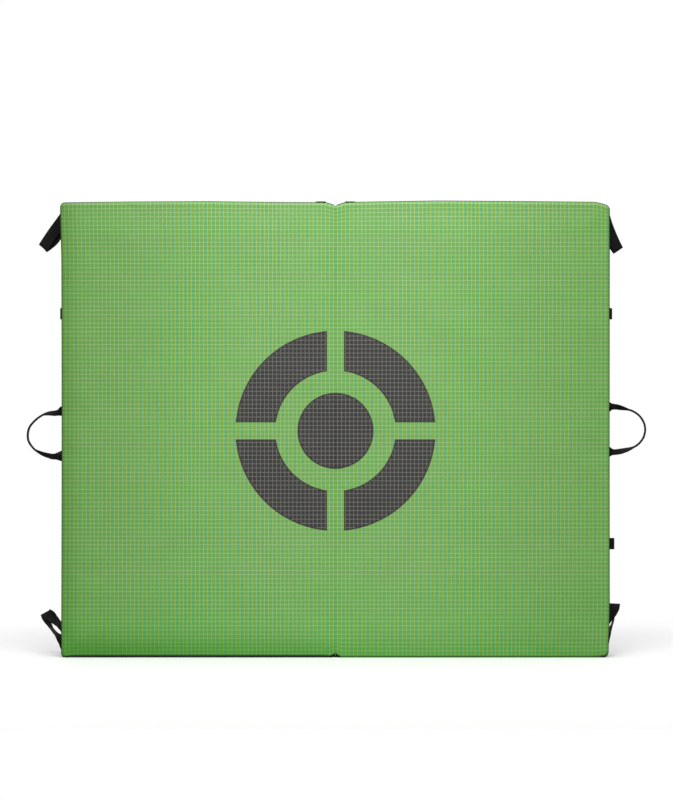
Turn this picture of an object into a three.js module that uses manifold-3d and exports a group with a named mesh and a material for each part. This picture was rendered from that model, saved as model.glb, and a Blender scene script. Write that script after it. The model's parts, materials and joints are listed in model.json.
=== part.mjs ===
// Hinge-fold crash pad: two foam halves joined along the landing face, standing on the long edge.
// Millimetres. +X runs along the pad, +Y from the landing face to the ground side, +Z up.
// The origin is the middle of the base of the whole object.
import * as THREE from 'three';
import { mergeVertices } from 'three/addons/utils/BufferGeometryUtils.js';
import Module from 'manifold-3d';

const manifold = await Module();
manifold.setup();

// ---- Driving dimensions ----
const PAD_WIDTH = 1190;
const PAD_HEIGHT = 990;
const PAD_THICKNESS = 90;
const HARNESS_DEPTH = 30; // how far the harness stands off the ground side
const CLEARANCE = 0.3; // between touching pieces
const CLOTH = 1.5; // cover fabric thickness
const FOLD_GAP = 1; // between the two halves when open
const TURNED_EDGE = 6; // landing fabric wrapped round the edge to its seam
const CORNER_RADIUS = 9;
const FOLD_SHOULDER_TOP = { run: 22, drop: 6.5 }; // rounding of the halves' top corners at the fold
const FOLD_SHOULDER_BASE = { run: 12, drop: 6.5 };
const TOP_FOAM = 12;
const BASE_FOAM = 15;

const WEB_WIDTH = 25;
const WEB = 1.8; // webbing thickness
const HALF_EDGE = PAD_WIDTH / 2;
const FRONT_Y = -(PAD_THICKNESS + HARNESS_DEPTH) / 2;
const BACK_Y = FRONT_Y + PAD_THICKNESS;
const SEWN_Y = BACK_Y + CLEARANCE; // underside of everything sewn on the ground side
const OVER_SEWN_Y = SEWN_Y + WEB + 2 * CLEARANCE; // underside of what lies on a sewn root
const ROOT_STEP = 2.5; // from a webbing hinge line to the piece that swings on it

const HINGE_WEB = { from: 21, to: 43, foot: 8 };

// Side handles: height, how far out they reach and the spread of their two legs
const HANDLE = { spread: 97, grip: 12, leg: 10, apex: 5, tab: 24 };
const HANDLES = { left: { z: 485, reach: 82 }, right: { z: 495, reach: 87 } };
const HANDLE_STUB = 3.5;

// Corner loops: hinge point on the ground side, lean from vertical in degrees and length
const LOOP_SLIT = 2.4;
const LOOP_PATCH = 22;
const RECEIVER_PATCH = 26;
const LOOPS = [
  { name: 'left_upper', side: -1, x: 594, z: 962.5, up: -1, lean: 34.5, length: 84.5 },
  { name: 'right_upper', side: 1, x: 591, z: 960, up: -1, lean: 22.5, length: 78.6 },
  { name: 'left_lower', side: -1, x: 587, z: 34, up: 1, lean: 41, length: 77 },
  { name: 'right_lower', side: 1, x: 587, z: 34, up: 1, lean: 18, length: 84 },
];

// Closures: height, how far the sewn root and the receiver's nose stand out of the edge
const CLOSURES = [
  { name: 'upper', z: 749, stub: 12, nose: 10 },
  { name: 'lower', z: 244, stub: 17, nose: 2 },
];
const STRAP_LENGTH = 200; // reaches over the closed pad's end to the other half's ground side
const HOOK_LENGTH = 36;
const HOOK_STEP = 2.5; // from the strap's end to the hook, so that the hook can turn square to it
const HOOK_PLATE = 3;
const ADJUSTER_AT = 60;
const RECEIVER_ROOT_X = 550;

// Foam access zips
const ZIP = { z: 40, width: 24, from: 45, to: 540, tape: 1, chain: 6, rise: 1.3 };

// Harness on the left half
const HARNESS_X = -HALF_EDGE / 2;
const SHOULDER = { offset: 60, width: 64, thick: 11, top: 800, length: 422, bow: 22 };
const LADDER = { width: 33, height: 32, plate: 5 };
const LOWER_WEB = { foot: 218, top: 372 };
const BELT = { offset: 100, width: 38, hinge: 300, length: 182 };
const BUCKLE = { width: 48, length: 54, plate: 10 };
const YOKE = { bottom: 785, top: 880, wide: 225, narrow: 150 };

// ---- Materials ----
const plain = (color, roughness, metalness = 0) =>
  () => new THREE.MeshStandardMaterial({ color, roughness, metalness });
const ripstop = plain(0x86b96a, 0.75);
const heavyNylon = plain(0x1d1d1e, 0.85);
const webbing = plain(0x161616, 0.8);
const closedFoam = plain(0x4a4d50, 0.9);
const openFoam = plain(0xe9e2c8, 0.95);
const padCloth = plain(0x232324, 0.85);
const acetal = plain(0x141415, 0.45);
const aluminium = plain(0xb9bcc0, 0.35, 1);

// ---- Helpers ----
const X = new THREE.Vector3(1, 0, 0);
const Y = new THREE.Vector3(0, 1, 0);
const Z = new THREE.Vector3(0, 0, 1);
const radians = THREE.MathUtils.degToRad;
const part = new THREE.Group();

function addPiece(name, geometry, material) {
  const mesh = new THREE.Mesh(geometry, material());
  mesh.name = name;
  part.add(mesh);
}

// Lays a local frame on the pad: local x along xAxis, local y along yAxis, from the given origin.
function place(geometry, origin, xAxis, yAxis) {
  const zAxis = new THREE.Vector3().crossVectors(xAxis, yAxis);
  const frame = new THREE.Matrix4().makeBasis(xAxis, yAxis, zAxis).setPosition(origin);
  return geometry.applyMatrix4(frame);
}

function extrude(shape, depth, curveSegments = 5) {
  return new THREE.ExtrudeGeometry(shape, { depth, bevelEnabled: false, curveSegments });
}

// A flat piece parallel to the pad's faces: the shape is drawn in X and Z.
function slab(shape, nearY, depth, curveSegments) {
  const origin = new THREE.Vector3(0, nearY + depth, 0);
  return place(extrude(shape, depth, curveSegments), origin, X, Z);
}

function block(x0, x1, y0, y1, z0, z1) {
  const box = new THREE.BoxGeometry(x1 - x0, y1 - y0, z1 - z0);
  return box.translate((x0 + x1) / 2, (y0 + y1) / 2, (z0 + z1) / 2);
}

function rectangle(x0, x1, y0, y1, radius = 0) {
  const left = Math.min(x0, x1);
  const right = Math.max(x0, x1);
  const shape = new THREE.Shape();
  if (radius === 0) {
    shape.moveTo(left, y0).lineTo(right, y0).lineTo(right, y1).lineTo(left, y1);
    return shape;
  }
  shape.moveTo(left + radius, y0);
  shape.absarc(right - radius, y0 + radius, radius, -Math.PI / 2, 0);
  shape.absarc(right - radius, y1 - radius, radius, 0, Math.PI / 2);
  shape.absarc(left + radius, y1 - radius, radius, Math.PI / 2, Math.PI);
  shape.absarc(left + radius, y0 + radius, radius, Math.PI, 1.5 * Math.PI);
  return shape;
}

function toSolid(geometry) {
  const bare = geometry.clone();
  bare.deleteAttribute('normal');
  bare.deleteAttribute('uv');
  const merged = mergeVertices(bare, 1e-4);
  return new manifold.Manifold(new manifold.Mesh({
    numProp: 3,
    vertProperties: new Float32Array(merged.attributes.position.array),
    triVerts: new Uint32Array(merged.index.array),
  }));
}

function toGeometry(solid) {
  const mesh = solid.getMesh();
  const geometry = new THREE.BufferGeometry();
  geometry.setAttribute('position', new THREE.BufferAttribute(mesh.vertProperties, mesh.numProp));
  geometry.setIndex(new THREE.BufferAttribute(mesh.triVerts, 1));
  return geometry;
}

const cut = (body, tool) => toGeometry(toSolid(body).subtract(toSolid(tool)));
const join = (body, other) => toGeometry(toSolid(body).add(toSolid(other)));

// ---- The two halves of the pad ----

// Front outline of one half, drawn in X and Z and moved inwards by inset.
function halfOutline(side, inset) {
  const fold = FOLD_GAP / 2 + inset;
  const edge = HALF_EDGE - inset;
  const base = inset;
  const top = PAD_HEIGHT - inset;
  const radius = CORNER_RADIUS - inset;
  const path = new THREE.Path();
  path.moveTo(fold, base + FOLD_SHOULDER_BASE.drop);
  path.quadraticCurveTo(fold + 2, base, fold + FOLD_SHOULDER_BASE.run, base);
  path.lineTo(edge - radius, base);
  path.absarc(edge - radius, base + radius, radius, -Math.PI / 2, 0);
  path.lineTo(edge, top - radius);
  path.absarc(edge - radius, top - radius, radius, 0, Math.PI / 2);
  path.lineTo(fold + FOLD_SHOULDER_TOP.run, top);
  path.quadraticCurveTo(fold + 4, top, fold, top - FOLD_SHOULDER_TOP.drop);
  const drawn = path.getPoints(4).map((p) => new THREE.Vector2(side * p.x, p.y));
  const points = drawn.filter((p, i) => i === 0 || p.distanceTo(drawn[i - 1]) > 1e-6);
  return side < 0 ? points.reverse() : points;
}

function addHalf(name, side) {
  const outer = new THREE.Shape(halfOutline(side, 0));
  const lining = halfOutline(side, CLOTH);
  const inside = new THREE.Shape(halfOutline(side, CLOTH + CLEARANCE));

  const panel = slab(outer, FRONT_Y, TURNED_EDGE);
  const pocket = slab(new THREE.Shape(lining), FRONT_Y + CLOTH, TURNED_EDGE);
  addPiece(`${name}_landing_panel`, cut(panel, pocket), ripstop);

  const wall = new THREE.Shape(halfOutline(side, 0));
  wall.holes.push(new THREE.Path(lining));
  const wallFrom = FRONT_Y + TURNED_EDGE + CLEARANCE;
  const wallTo = BACK_Y - CLOTH - CLEARANCE;
  addPiece(`${name}_side_gusset`, slab(wall, wallFrom, wallTo - wallFrom), heavyNylon);
  addPiece(`${name}_ground_panel`, slab(outer, BACK_Y - CLOTH, CLOTH), heavyNylon);

  const foamFrom = FRONT_Y + CLOTH + CLEARANCE;
  const coreFrom = foamFrom + TOP_FOAM + CLEARANCE;
  const baseFrom = BACK_Y - CLOTH - CLEARANCE - BASE_FOAM;
  addPiece(`${name}_top_foam`, slab(inside, foamFrom, TOP_FOAM), closedFoam);
  addPiece(`${name}_core_foam`, slab(inside, coreFrom, baseFrom - CLEARANCE - coreFrom), openFoam);
  addPiece(`${name}_base_foam`, slab(inside, baseFrom, BASE_FOAM), closedFoam);
}

// Webbing sewn up the ground side beside the fold and turned over the top wall.
function addHingeWebbing(name, side) {
  const crest = PAD_HEIGHT + CLEARANCE;
  const seam = FRONT_Y + TURNED_EDGE;
  const profile = new THREE.Shape();
  profile.moveTo(SEWN_Y, HINGE_WEB.foot);
  profile.lineTo(SEWN_Y + WEB, HINGE_WEB.foot);
  profile.lineTo(SEWN_Y + WEB, crest + WEB);
  profile.lineTo(seam, crest + WEB);
  profile.lineTo(seam, crest);
  profile.lineTo(SEWN_Y, crest);
  const start = side > 0 ? HINGE_WEB.from : -HINGE_WEB.to;
  const geometry = extrude(profile, HINGE_WEB.to - HINGE_WEB.from);
  addPiece(`${name}_hinge_webbing`, place(geometry, new THREE.Vector3(start, 0, 0), Y, Z), webbing);
}

// Zip for changing the foam: tape with a raised chain, and a slider with its pull.
function addZip(name, side) {
  const length = ZIP.to - ZIP.from;
  const start = side > 0 ? ZIP.from : -ZIP.to;
  const profile = new THREE.Shape();
  profile.moveTo(SEWN_Y, -ZIP.width / 2);
  profile.lineTo(SEWN_Y + ZIP.tape, -ZIP.width / 2);
  profile.lineTo(SEWN_Y + ZIP.tape, -ZIP.chain / 2);
  profile.lineTo(SEWN_Y + ZIP.tape + ZIP.rise, -ZIP.chain / 2);
  profile.lineTo(SEWN_Y + ZIP.tape + ZIP.rise, ZIP.chain / 2);
  profile.lineTo(SEWN_Y + ZIP.tape, ZIP.chain / 2);
  profile.lineTo(SEWN_Y + ZIP.tape, ZIP.width / 2);
  profile.lineTo(SEWN_Y, ZIP.width / 2);
  const tape = place(extrude(profile, length), new THREE.Vector3(start, 0, ZIP.z), Y, Z);
  addPiece(`${name}_zip_tape`, tape, webbing);

  // The slider is a channel over the chain; its pull hangs from it.
  const skid = SEWN_Y + ZIP.tape + CLEARANCE;
  const roof = SEWN_Y + ZIP.tape + ZIP.rise + CLEARANCE;
  const slider = { length: 15, half: 7, cheek: ZIP.chain / 2 + CLEARANCE, thick: 1.6 };
  const channel = new THREE.Shape();
  channel.moveTo(skid, -slider.half).lineTo(roof + slider.thick, -slider.half);
  channel.lineTo(roof + slider.thick, slider.half).lineTo(skid, slider.half);
  channel.lineTo(skid, slider.cheek).lineTo(roof, slider.cheek);
  channel.lineTo(roof, -slider.cheek).lineTo(skid, -slider.cheek);
  const sliderX = side > 0 ? ZIP.to - slider.length - 5 : -ZIP.to + 5;
  const body = place(extrude(channel, slider.length), new THREE.Vector3(sliderX, 0, ZIP.z), Y, Z);
  const pullX = sliderX + slider.length / 2;
  const pull = slab(rectangle(pullX - 4, pullX + 4, ZIP.z - 34, ZIP.z, 3), roof + 1, 1.5, 3);
  addPiece(`${name}_zip_slider`, join(body, pull), aluminium);
}

// Grab handle: flat tabs at the seam, folded webbing grip between them.
function addHandle(name, side) {
  const { z, reach } = HANDLES[name];
  const half = HANDLE.spread / 2;
  const edge = HALF_EDGE + HANDLE_STUB;
  const anchor = new THREE.Shape();
  const outline = [
    [HALF_EDGE - 30, -half - 20], [HALF_EDGE - 4, -half - 20],
    [HALF_EDGE - 4, -half - HANDLE.tab / 2], [edge, -half - HANDLE.tab / 2],
    [edge, -half + HANDLE.tab / 2], [HALF_EDGE - 4, -half + HANDLE.tab / 2],
    [HALF_EDGE - 4, half - HANDLE.tab / 2], [edge, half - HANDLE.tab / 2],
    [edge, half + HANDLE.tab / 2], [HALF_EDGE - 4, half + HANDLE.tab / 2],
    [HALF_EDGE - 4, half + 20], [HALF_EDGE - 30, half + 20],
  ];
  anchor.setFromPoints(outline.map(([x, dz]) => new THREE.Vector2(side * x, z + dz)));
  addPiece(`${name}_handle_anchor`, slab(anchor, SEWN_Y, WEB), webbing);

  const hinge = edge + 0.5;
  const root = hinge + ROOT_STEP;
  const apex = HALF_EDGE + reach;
  const legOuter = half + HANDLE.leg / 2;
  const legInner = half - HANDLE.leg / 2;
  const straight = root + 22;
  const grip = new THREE.Path();
  grip.moveTo(root, -legOuter);
  grip.lineTo(straight, -legOuter);
  grip.bezierCurveTo(apex, -legOuter, apex, -half / 2, apex, 0);
  grip.bezierCurveTo(apex, half / 2, apex, legOuter, straight, legOuter);
  grip.lineTo(root, legOuter);
  grip.lineTo(root, legInner);
  grip.lineTo(straight, legInner);
  const palm = apex - HANDLE.apex;
  grip.bezierCurveTo(palm, legInner, palm, half / 2, palm, 0);
  grip.bezierCurveTo(palm, -half / 2, palm, -legInner, straight, -legInner);
  grip.lineTo(root, -legInner);
  const gripShape = new THREE.Shape(
    grip.getPoints(8).map((p) => new THREE.Vector2(side * p.x, z + p.y)));
  const middle = SEWN_Y + WEB / 2;
  const gripBody = cut(
    slab(gripShape, middle - HANDLE.grip / 2, HANDLE.grip),
    block(...[side * (root - 5), side * (root + 12)].sort((a, b) => a - b),
      middle - HANDLE.grip, middle + HANDLE.grip, z - 2 * half, z + 2 * half));
  let handle = gripBody;
  for (const end of [-1, 1]) {
    const tab = new THREE.Shape();
    const points = [
      [root, -HANDLE.tab / 2], [root + 6, -HANDLE.tab / 2], [root + 16, -HANDLE.leg / 2],
      [root + 16, HANDLE.leg / 2], [root + 6, HANDLE.tab / 2], [root, HANDLE.tab / 2],
    ];
    tab.setFromPoints(points.map(([x, dz]) => new THREE.Vector2(side * x, z + end * half + dz)));
    handle = join(handle, slab(tab, middle - WEB, 2 * WEB));
  }
  addPiece(`${name}_handle`, handle, webbing);
}

// A webbing loop lying flat: two layers with a slit between them and a round nose.
// Drawn from the hinge line outwards in x, with its underside at y = 0.
function loopProfile(length) {
  const outer = WEB + LOOP_SLIT / 2;
  const inner = LOOP_SLIT / 2;
  const centre = length - outer;
  const shape = new THREE.Shape();
  shape.moveTo(ROOT_STEP, 0);
  shape.lineTo(centre, 0);
  shape.absarc(centre, outer, outer, -Math.PI / 2, Math.PI / 2);
  shape.lineTo(ROOT_STEP, 2 * outer);
  shape.lineTo(ROOT_STEP, 2 * outer - WEB);
  shape.lineTo(centre, 2 * outer - WEB);
  shape.absarc(centre, outer, inner, Math.PI / 2, -Math.PI / 2, true);
  shape.lineTo(ROOT_STEP, WEB);
  return shape;
}

// Lays a strip of webbing width on the ground side, from a point, along a direction in X and Z.
function alongBack(profile, root, direction, nearY, width) {
  const geometry = extrude(profile, width, 4).translate(0, 0, -width / 2);
  return place(geometry, new THREE.Vector3(root.x, nearY, root.z), direction, Y);
}

const strip = (from, to, thick) => rectangle(from, to, 0, thick);

function addCornerLoop({ name, side, x, z, up, lean, length }) {
  const angle = radians(lean);
  const direction = new THREE.Vector3(side * Math.sin(angle), 0, up * Math.cos(angle));
  const root = new THREE.Vector3(side * x, 0, z);
  const patch = alongBack(strip(-LOOP_PATCH, 0, WEB), root, direction, SEWN_Y, WEB_WIDTH);
  addPiece(`${name}_loop_anchor`, patch, webbing);
  const loop = alongBack(loopProfile(length), root, direction, SEWN_Y, WEB_WIDTH);
  addPiece(`${name}_loop`, loop, webbing);
}

// Closure strap on the right half, folded back over the ground side, with adjuster and hook.
function addClosureStrap({ name, z, stub }) {
  const tip = HALF_EDGE + stub;
  const hinge = new THREE.Vector3(tip + 0.5, 0, z);
  const inward = X.clone().negate();
  const rootStrip = alongBack(strip(0, 28 + stub, WEB), { x: tip, z }, inward, SEWN_Y, WEB_WIDTH);
  addPiece(`${name}_strap_root`, rootStrip, webbing);

  const strap = alongBack(strip(1.5, STRAP_LENGTH, WEB), hinge, inward, OVER_SEWN_Y, WEB_WIDTH);
  addPiece(`${name}_strap`, strap, webbing);

  const frame = rectangle(-WEB_WIDTH / 2 - 4, WEB_WIDTH / 2 + 4, -WEB - CLEARANCE, 2 * WEB + CLEARANCE, 1);
  frame.holes.push(rectangle(
    -WEB_WIDTH / 2 - CLEARANCE, WEB_WIDTH / 2 + CLEARANCE, -CLEARANCE, WEB + CLEARANCE));
  const adjuster = place(extrude(frame, 14, 3),
    new THREE.Vector3(hinge.x - ADJUSTER_AT, OVER_SEWN_Y, z), Z.clone().negate(), Y);
  addPiece(`${name}_adjuster`, adjuster, acetal);

  // Flat hook: a plate with a slot for the strap and an open mouth for the receiver
  const from = STRAP_LENGTH + HOOK_STEP;
  const to = from + HOOK_LENGTH;
  const halfWidth = WEB_WIDTH / 2 + 4;
  const plate = new THREE.Shape();
  plate.moveTo(from, -halfWidth + 3);
  plate.quadraticCurveTo(from, -halfWidth, from + 3, -halfWidth);
  plate.lineTo(from + 17, -halfWidth).lineTo(from + 17, halfWidth - 6);
  plate.lineTo(from + 20.5, halfWidth - 6).lineTo(from + 20.5, -halfWidth);
  plate.lineTo(to - 9, -halfWidth);
  plate.quadraticCurveTo(to, -halfWidth, to, -halfWidth + 9);
  plate.lineTo(to, halfWidth - 9);
  plate.quadraticCurveTo(to, halfWidth, to - 9, halfWidth);
  plate.lineTo(from + 3, halfWidth);
  plate.quadraticCurveTo(from, halfWidth, from, halfWidth - 3);
  plate.holes.push(rectangle(from + 4, from + 7.6, -WEB_WIDTH / 2 - 0.5, WEB_WIDTH / 2 + 0.5));
  const hook = place(extrude(plate, HOOK_PLATE, 3),
    new THREE.Vector3(hinge.x, OVER_SEWN_Y + (WEB - HOOK_PLATE) / 2, z), inward, Z);
  addPiece(`${name}_hook`, hook, aluminium);
}

// Receiver loop on the left half, lying flat with its nose at the edge.
function addReceiver({ name, z, nose }) {
  const root = new THREE.Vector3(-RECEIVER_ROOT_X, 0, z);
  const outward = X.clone().negate();
  const anchor = alongBack(strip(-RECEIVER_PATCH, 0, WEB), root, outward, SEWN_Y, WEB_WIDTH);
  addPiece(`${name}_receiver_anchor`, anchor, webbing);
  const length = HALF_EDGE + nose - RECEIVER_ROOT_X;
  const loop = alongBack(loopProfile(length), root, outward, SEWN_Y, WEB_WIDTH);
  addPiece(`${name}_receiver`, loop, webbing);
}

// ---- Carrying harness on the left half ----

function addYoke() {
  const shape = new THREE.Shape();
  const { wide, narrow, top, bottom } = YOKE;
  shape.moveTo(HARNESS_X - wide / 2, bottom).lineTo(HARNESS_X + wide / 2, bottom);
  shape.lineTo(HARNESS_X + wide / 2, bottom + 40).lineTo(HARNESS_X + narrow / 2, top);
  shape.lineTo(HARNESS_X - narrow / 2, top).lineTo(HARNESS_X - wide / 2, bottom + 40);
  addPiece('harness_yoke', slab(shape, SEWN_Y, CLOTH), heavyNylon);
}

// Side profile of a shoulder pad, bowed away from the pad: x outwards, y up from the hinge.
function shoulderProfile() {
  const { length, thick, bow } = SHOULDER;
  const root = CLEARANCE;
  const shape = new THREE.Shape();
  shape.moveTo(root, -ROOT_STEP);
  shape.bezierCurveTo(bow, -length * 0.3, bow, -length * 0.7, root + 3, -length);
  shape.lineTo(root + 3 + thick, -length);
  shape.bezierCurveTo(bow + thick, -length * 0.7, bow + thick, -length * 0.3, root + thick, -ROOT_STEP);
  return shape;
}

function addShoulderStrap(name, side) {
  const x = HARNESS_X + side * SHOULDER.offset;
  const over = SEWN_Y + CLOTH + CLEARANCE;
  const tail = slab(rectangle(x - 14, x + 14, SHOULDER.top + 0.5, SHOULDER.top + 52), over, WEB);
  addPiece(`${name}_shoulder_tail`, tail, webbing);
  const hinge = new THREE.Vector3(x - SHOULDER.width / 2, over, SHOULDER.top);
  const pad = place(extrude(shoulderProfile(), SHOULDER.width, 8), hinge, Y, Z);
  addPiece(`${name}_shoulder_pad`, pad, padCloth);

  const top = SHOULDER.top - SHOULDER.length - 0.5;
  const { width, height, plate } = LADDER;
  const frame = rectangle(x - width / 2, x + width / 2, top - height, top, 3);
  for (const slotTop of [top - 4, top - 15]) {
    frame.holes.push(rectangle(x - 13.5, x + 13.5, slotTop - 3.6, slotTop));
  }
  addPiece(`${name}_ladder_lock`, slab(frame, over + 4, plate, 3), acetal);

  const web = slab(
    rectangle(x - WEB_WIDTH / 2, x + WEB_WIDTH / 2, LOWER_WEB.foot + ROOT_STEP, LOWER_WEB.top), over, WEB);
  addPiece(`${name}_lower_webbing`, web, webbing);
  const anchor = slab(rectangle(x - 14, x + 14, LOWER_WEB.foot - 46, LOWER_WEB.foot), SEWN_Y, WEB);
  addPiece(`${name}_lower_anchor`, anchor, webbing);
}

function addBelt(name, side) {
  const x = HARNESS_X + side * BELT.offset;
  const half = BELT.width / 2;
  const anchor = slab(rectangle(x - half, x + half, BELT.hinge + 0.5, BELT.hinge + 46), SEWN_Y, WEB);
  addPiece(`${name}_belt_anchor`, anchor, webbing);
  const bottom = BELT.hinge - BELT.length;
  const over = SEWN_Y + CLEARANCE;
  const belt = slab(rectangle(x - half, x + half, bottom, BELT.hinge - ROOT_STEP), over, WEB);
  addPiece(`${name}_belt`, belt, webbing);

  // Buckle half under the belt's end
  const wide = BUCKLE.width / 2;
  const high = bottom - CLEARANCE;
  const low = high - BUCKLE.length;
  const shape = new THREE.Shape();
  if (side < 0) {
    shape.moveTo(x - wide, low + 6).lineTo(x - wide + 5, low).lineTo(x + wide - 5, low);
    shape.lineTo(x + wide, low + 6).lineTo(x + wide, high - 5).lineTo(x + wide - 5, high);
    shape.lineTo(x - wide + 5, high).lineTo(x - wide, high - 5);
    const body = slab(shape, over, BUCKLE.plate);
    const socket = block(x - 18, x + 18, over + 2.5, over + BUCKLE.plate - 2.5, low - 5, low + 30);
    addPiece('buckle_socket_half', cut(body, socket), acetal);
  } else {
    // Two sprung arms beside a middle tongue
    const reach = 26;
    shape.moveTo(x - wide + 3, high).lineTo(x - wide, high - 5).lineTo(x - wide, low + reach);
    shape.lineTo(x - 17, low + reach).lineTo(x - 17, low + 4).lineTo(x - 14, low);
    shape.lineTo(x - 9, low).lineTo(x - 9, low + reach).lineTo(x - 5.5, low + reach);
    shape.lineTo(x - 5.5, low + 5).lineTo(x + 5.5, low + 5).lineTo(x + 5.5, low + reach);
    shape.lineTo(x + 9, low + reach).lineTo(x + 9, low).lineTo(x + 14, low);
    shape.lineTo(x + 17, low + 4).lineTo(x + 17, low + reach).lineTo(x + wide, low + reach);
    shape.lineTo(x + wide, high - 5).lineTo(x + wide - 3, high);
    addPiece('buckle_tongue_half', slab(shape, over + 2.8, 4.4), acetal);
  }
}

// ---- Assembly ----
for (const [name, side] of [['left', -1], ['right', 1]]) {
  addHalf(name, side);
  addHingeWebbing(name, side);
  addZip(name, side);
  addHandle(name, side);
}
LOOPS.forEach(addCornerLoop);
CLOSURES.forEach(addClosureStrap);
CLOSURES.forEach(addReceiver);
addYoke();
for (const [name, side] of [['outer', -1], ['inner', 1]]) {
  addShoulderStrap(name, side);
  addBelt(name, side);
}

export default part;
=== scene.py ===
"""Hinge-fold crash pad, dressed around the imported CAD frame. Metres, +X along the pad, +Y to the ground side."""
import bmesh
import bpy
import json
import math
import numpy as np
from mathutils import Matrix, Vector, noise


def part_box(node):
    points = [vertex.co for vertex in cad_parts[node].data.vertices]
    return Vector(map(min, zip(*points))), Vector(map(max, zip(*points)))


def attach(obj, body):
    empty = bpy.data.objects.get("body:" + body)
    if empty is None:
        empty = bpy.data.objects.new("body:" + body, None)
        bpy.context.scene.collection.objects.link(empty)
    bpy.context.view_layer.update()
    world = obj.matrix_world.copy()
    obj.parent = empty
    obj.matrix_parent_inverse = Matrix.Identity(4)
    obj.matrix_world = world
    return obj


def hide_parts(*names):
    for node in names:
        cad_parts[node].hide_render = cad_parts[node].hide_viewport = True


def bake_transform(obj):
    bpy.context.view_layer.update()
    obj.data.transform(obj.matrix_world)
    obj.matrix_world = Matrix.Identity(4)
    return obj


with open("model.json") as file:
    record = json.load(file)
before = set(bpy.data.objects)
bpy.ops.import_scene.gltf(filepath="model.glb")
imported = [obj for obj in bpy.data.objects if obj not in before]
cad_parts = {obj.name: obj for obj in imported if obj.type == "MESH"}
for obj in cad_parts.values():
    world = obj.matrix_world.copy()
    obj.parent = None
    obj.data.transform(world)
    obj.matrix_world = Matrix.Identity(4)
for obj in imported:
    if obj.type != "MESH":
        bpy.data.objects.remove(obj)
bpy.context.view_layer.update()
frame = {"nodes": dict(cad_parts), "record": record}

# ---- Places and sizes, from the frame ----
MM = 0.001
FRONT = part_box("left_landing_panel")[0].y
EDGE, BACK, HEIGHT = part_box("right_ground_panel")[1]
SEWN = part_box("left_handle_anchor")[0].y  # plane that webbing is sewn down to
WEB = 1.8 * MM  # thickness of webbing
WEB_WIDTH = 25 * MM
LAID = SEWN + 0.95 * MM  # middle of webbing laid on the cover
THREAD_LEVEL = SEWN + 1.95 * MM  # stitches on one layer of webbing
BOX_REACH = 9 * MM  # half the width of the stitching on a strap
CORNER = 9 * MM
FOLD_GAP = 0.5 * MM  # from the fold's middle to each half's cover
ROLL = 4.6 * MM  # radius of the landing face's edge
TURN = 6 * MM  # depth of the landing fabric's turned edge
FOLD_TOP = (22 * MM, 6.5 * MM)  # run and drop of the notch over the fold
FOLD_BASE = (12 * MM, 6.5 * MM)
MARK_CENTRE = 0.4925
MARK_RADIUS = 0.2175
SIDE_NAMES = {-1: "left", 1: "right"}
CLOSURES = {"upper": 0.749, "lower": 0.244}  # heights of the two closure straps
TINY = 1e-6
BODY_OF = {node: body for body, nodes in frame["record"]["behaviour"]["bodies"].items() for node in nodes}


def placed(name, data, location=(0, 0, 0), rotation=(0, 0, 0)):
    """A new object, linked into the scene."""
    obj = bpy.data.objects.new(name, data)
    obj.location = location
    obj.rotation_euler = rotation
    bpy.context.scene.collection.objects.link(obj)
    return obj


# ---- Camera ----
CAMERA_DISTANCE = 8.0
VIEW_HEIGHT = 1.7376  # height of the picture at the landing face
VIEW_X, VIEW_Z = 0.0022, 0.5595  # what the camera looks at
SENSOR = 36.0


def make_camera():
    data = bpy.data.cameras.new("camera")
    data.sensor_width = SENSOR
    data.lens = SENSOR * CAMERA_DISTANCE / VIEW_HEIGHT
    data.clip_end = 60
    bpy.context.scene.camera = placed("camera", data, (VIEW_X, FRONT - CAMERA_DISTANCE, VIEW_Z),
                                      (math.pi / 2, 0, 0))


make_camera()


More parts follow.
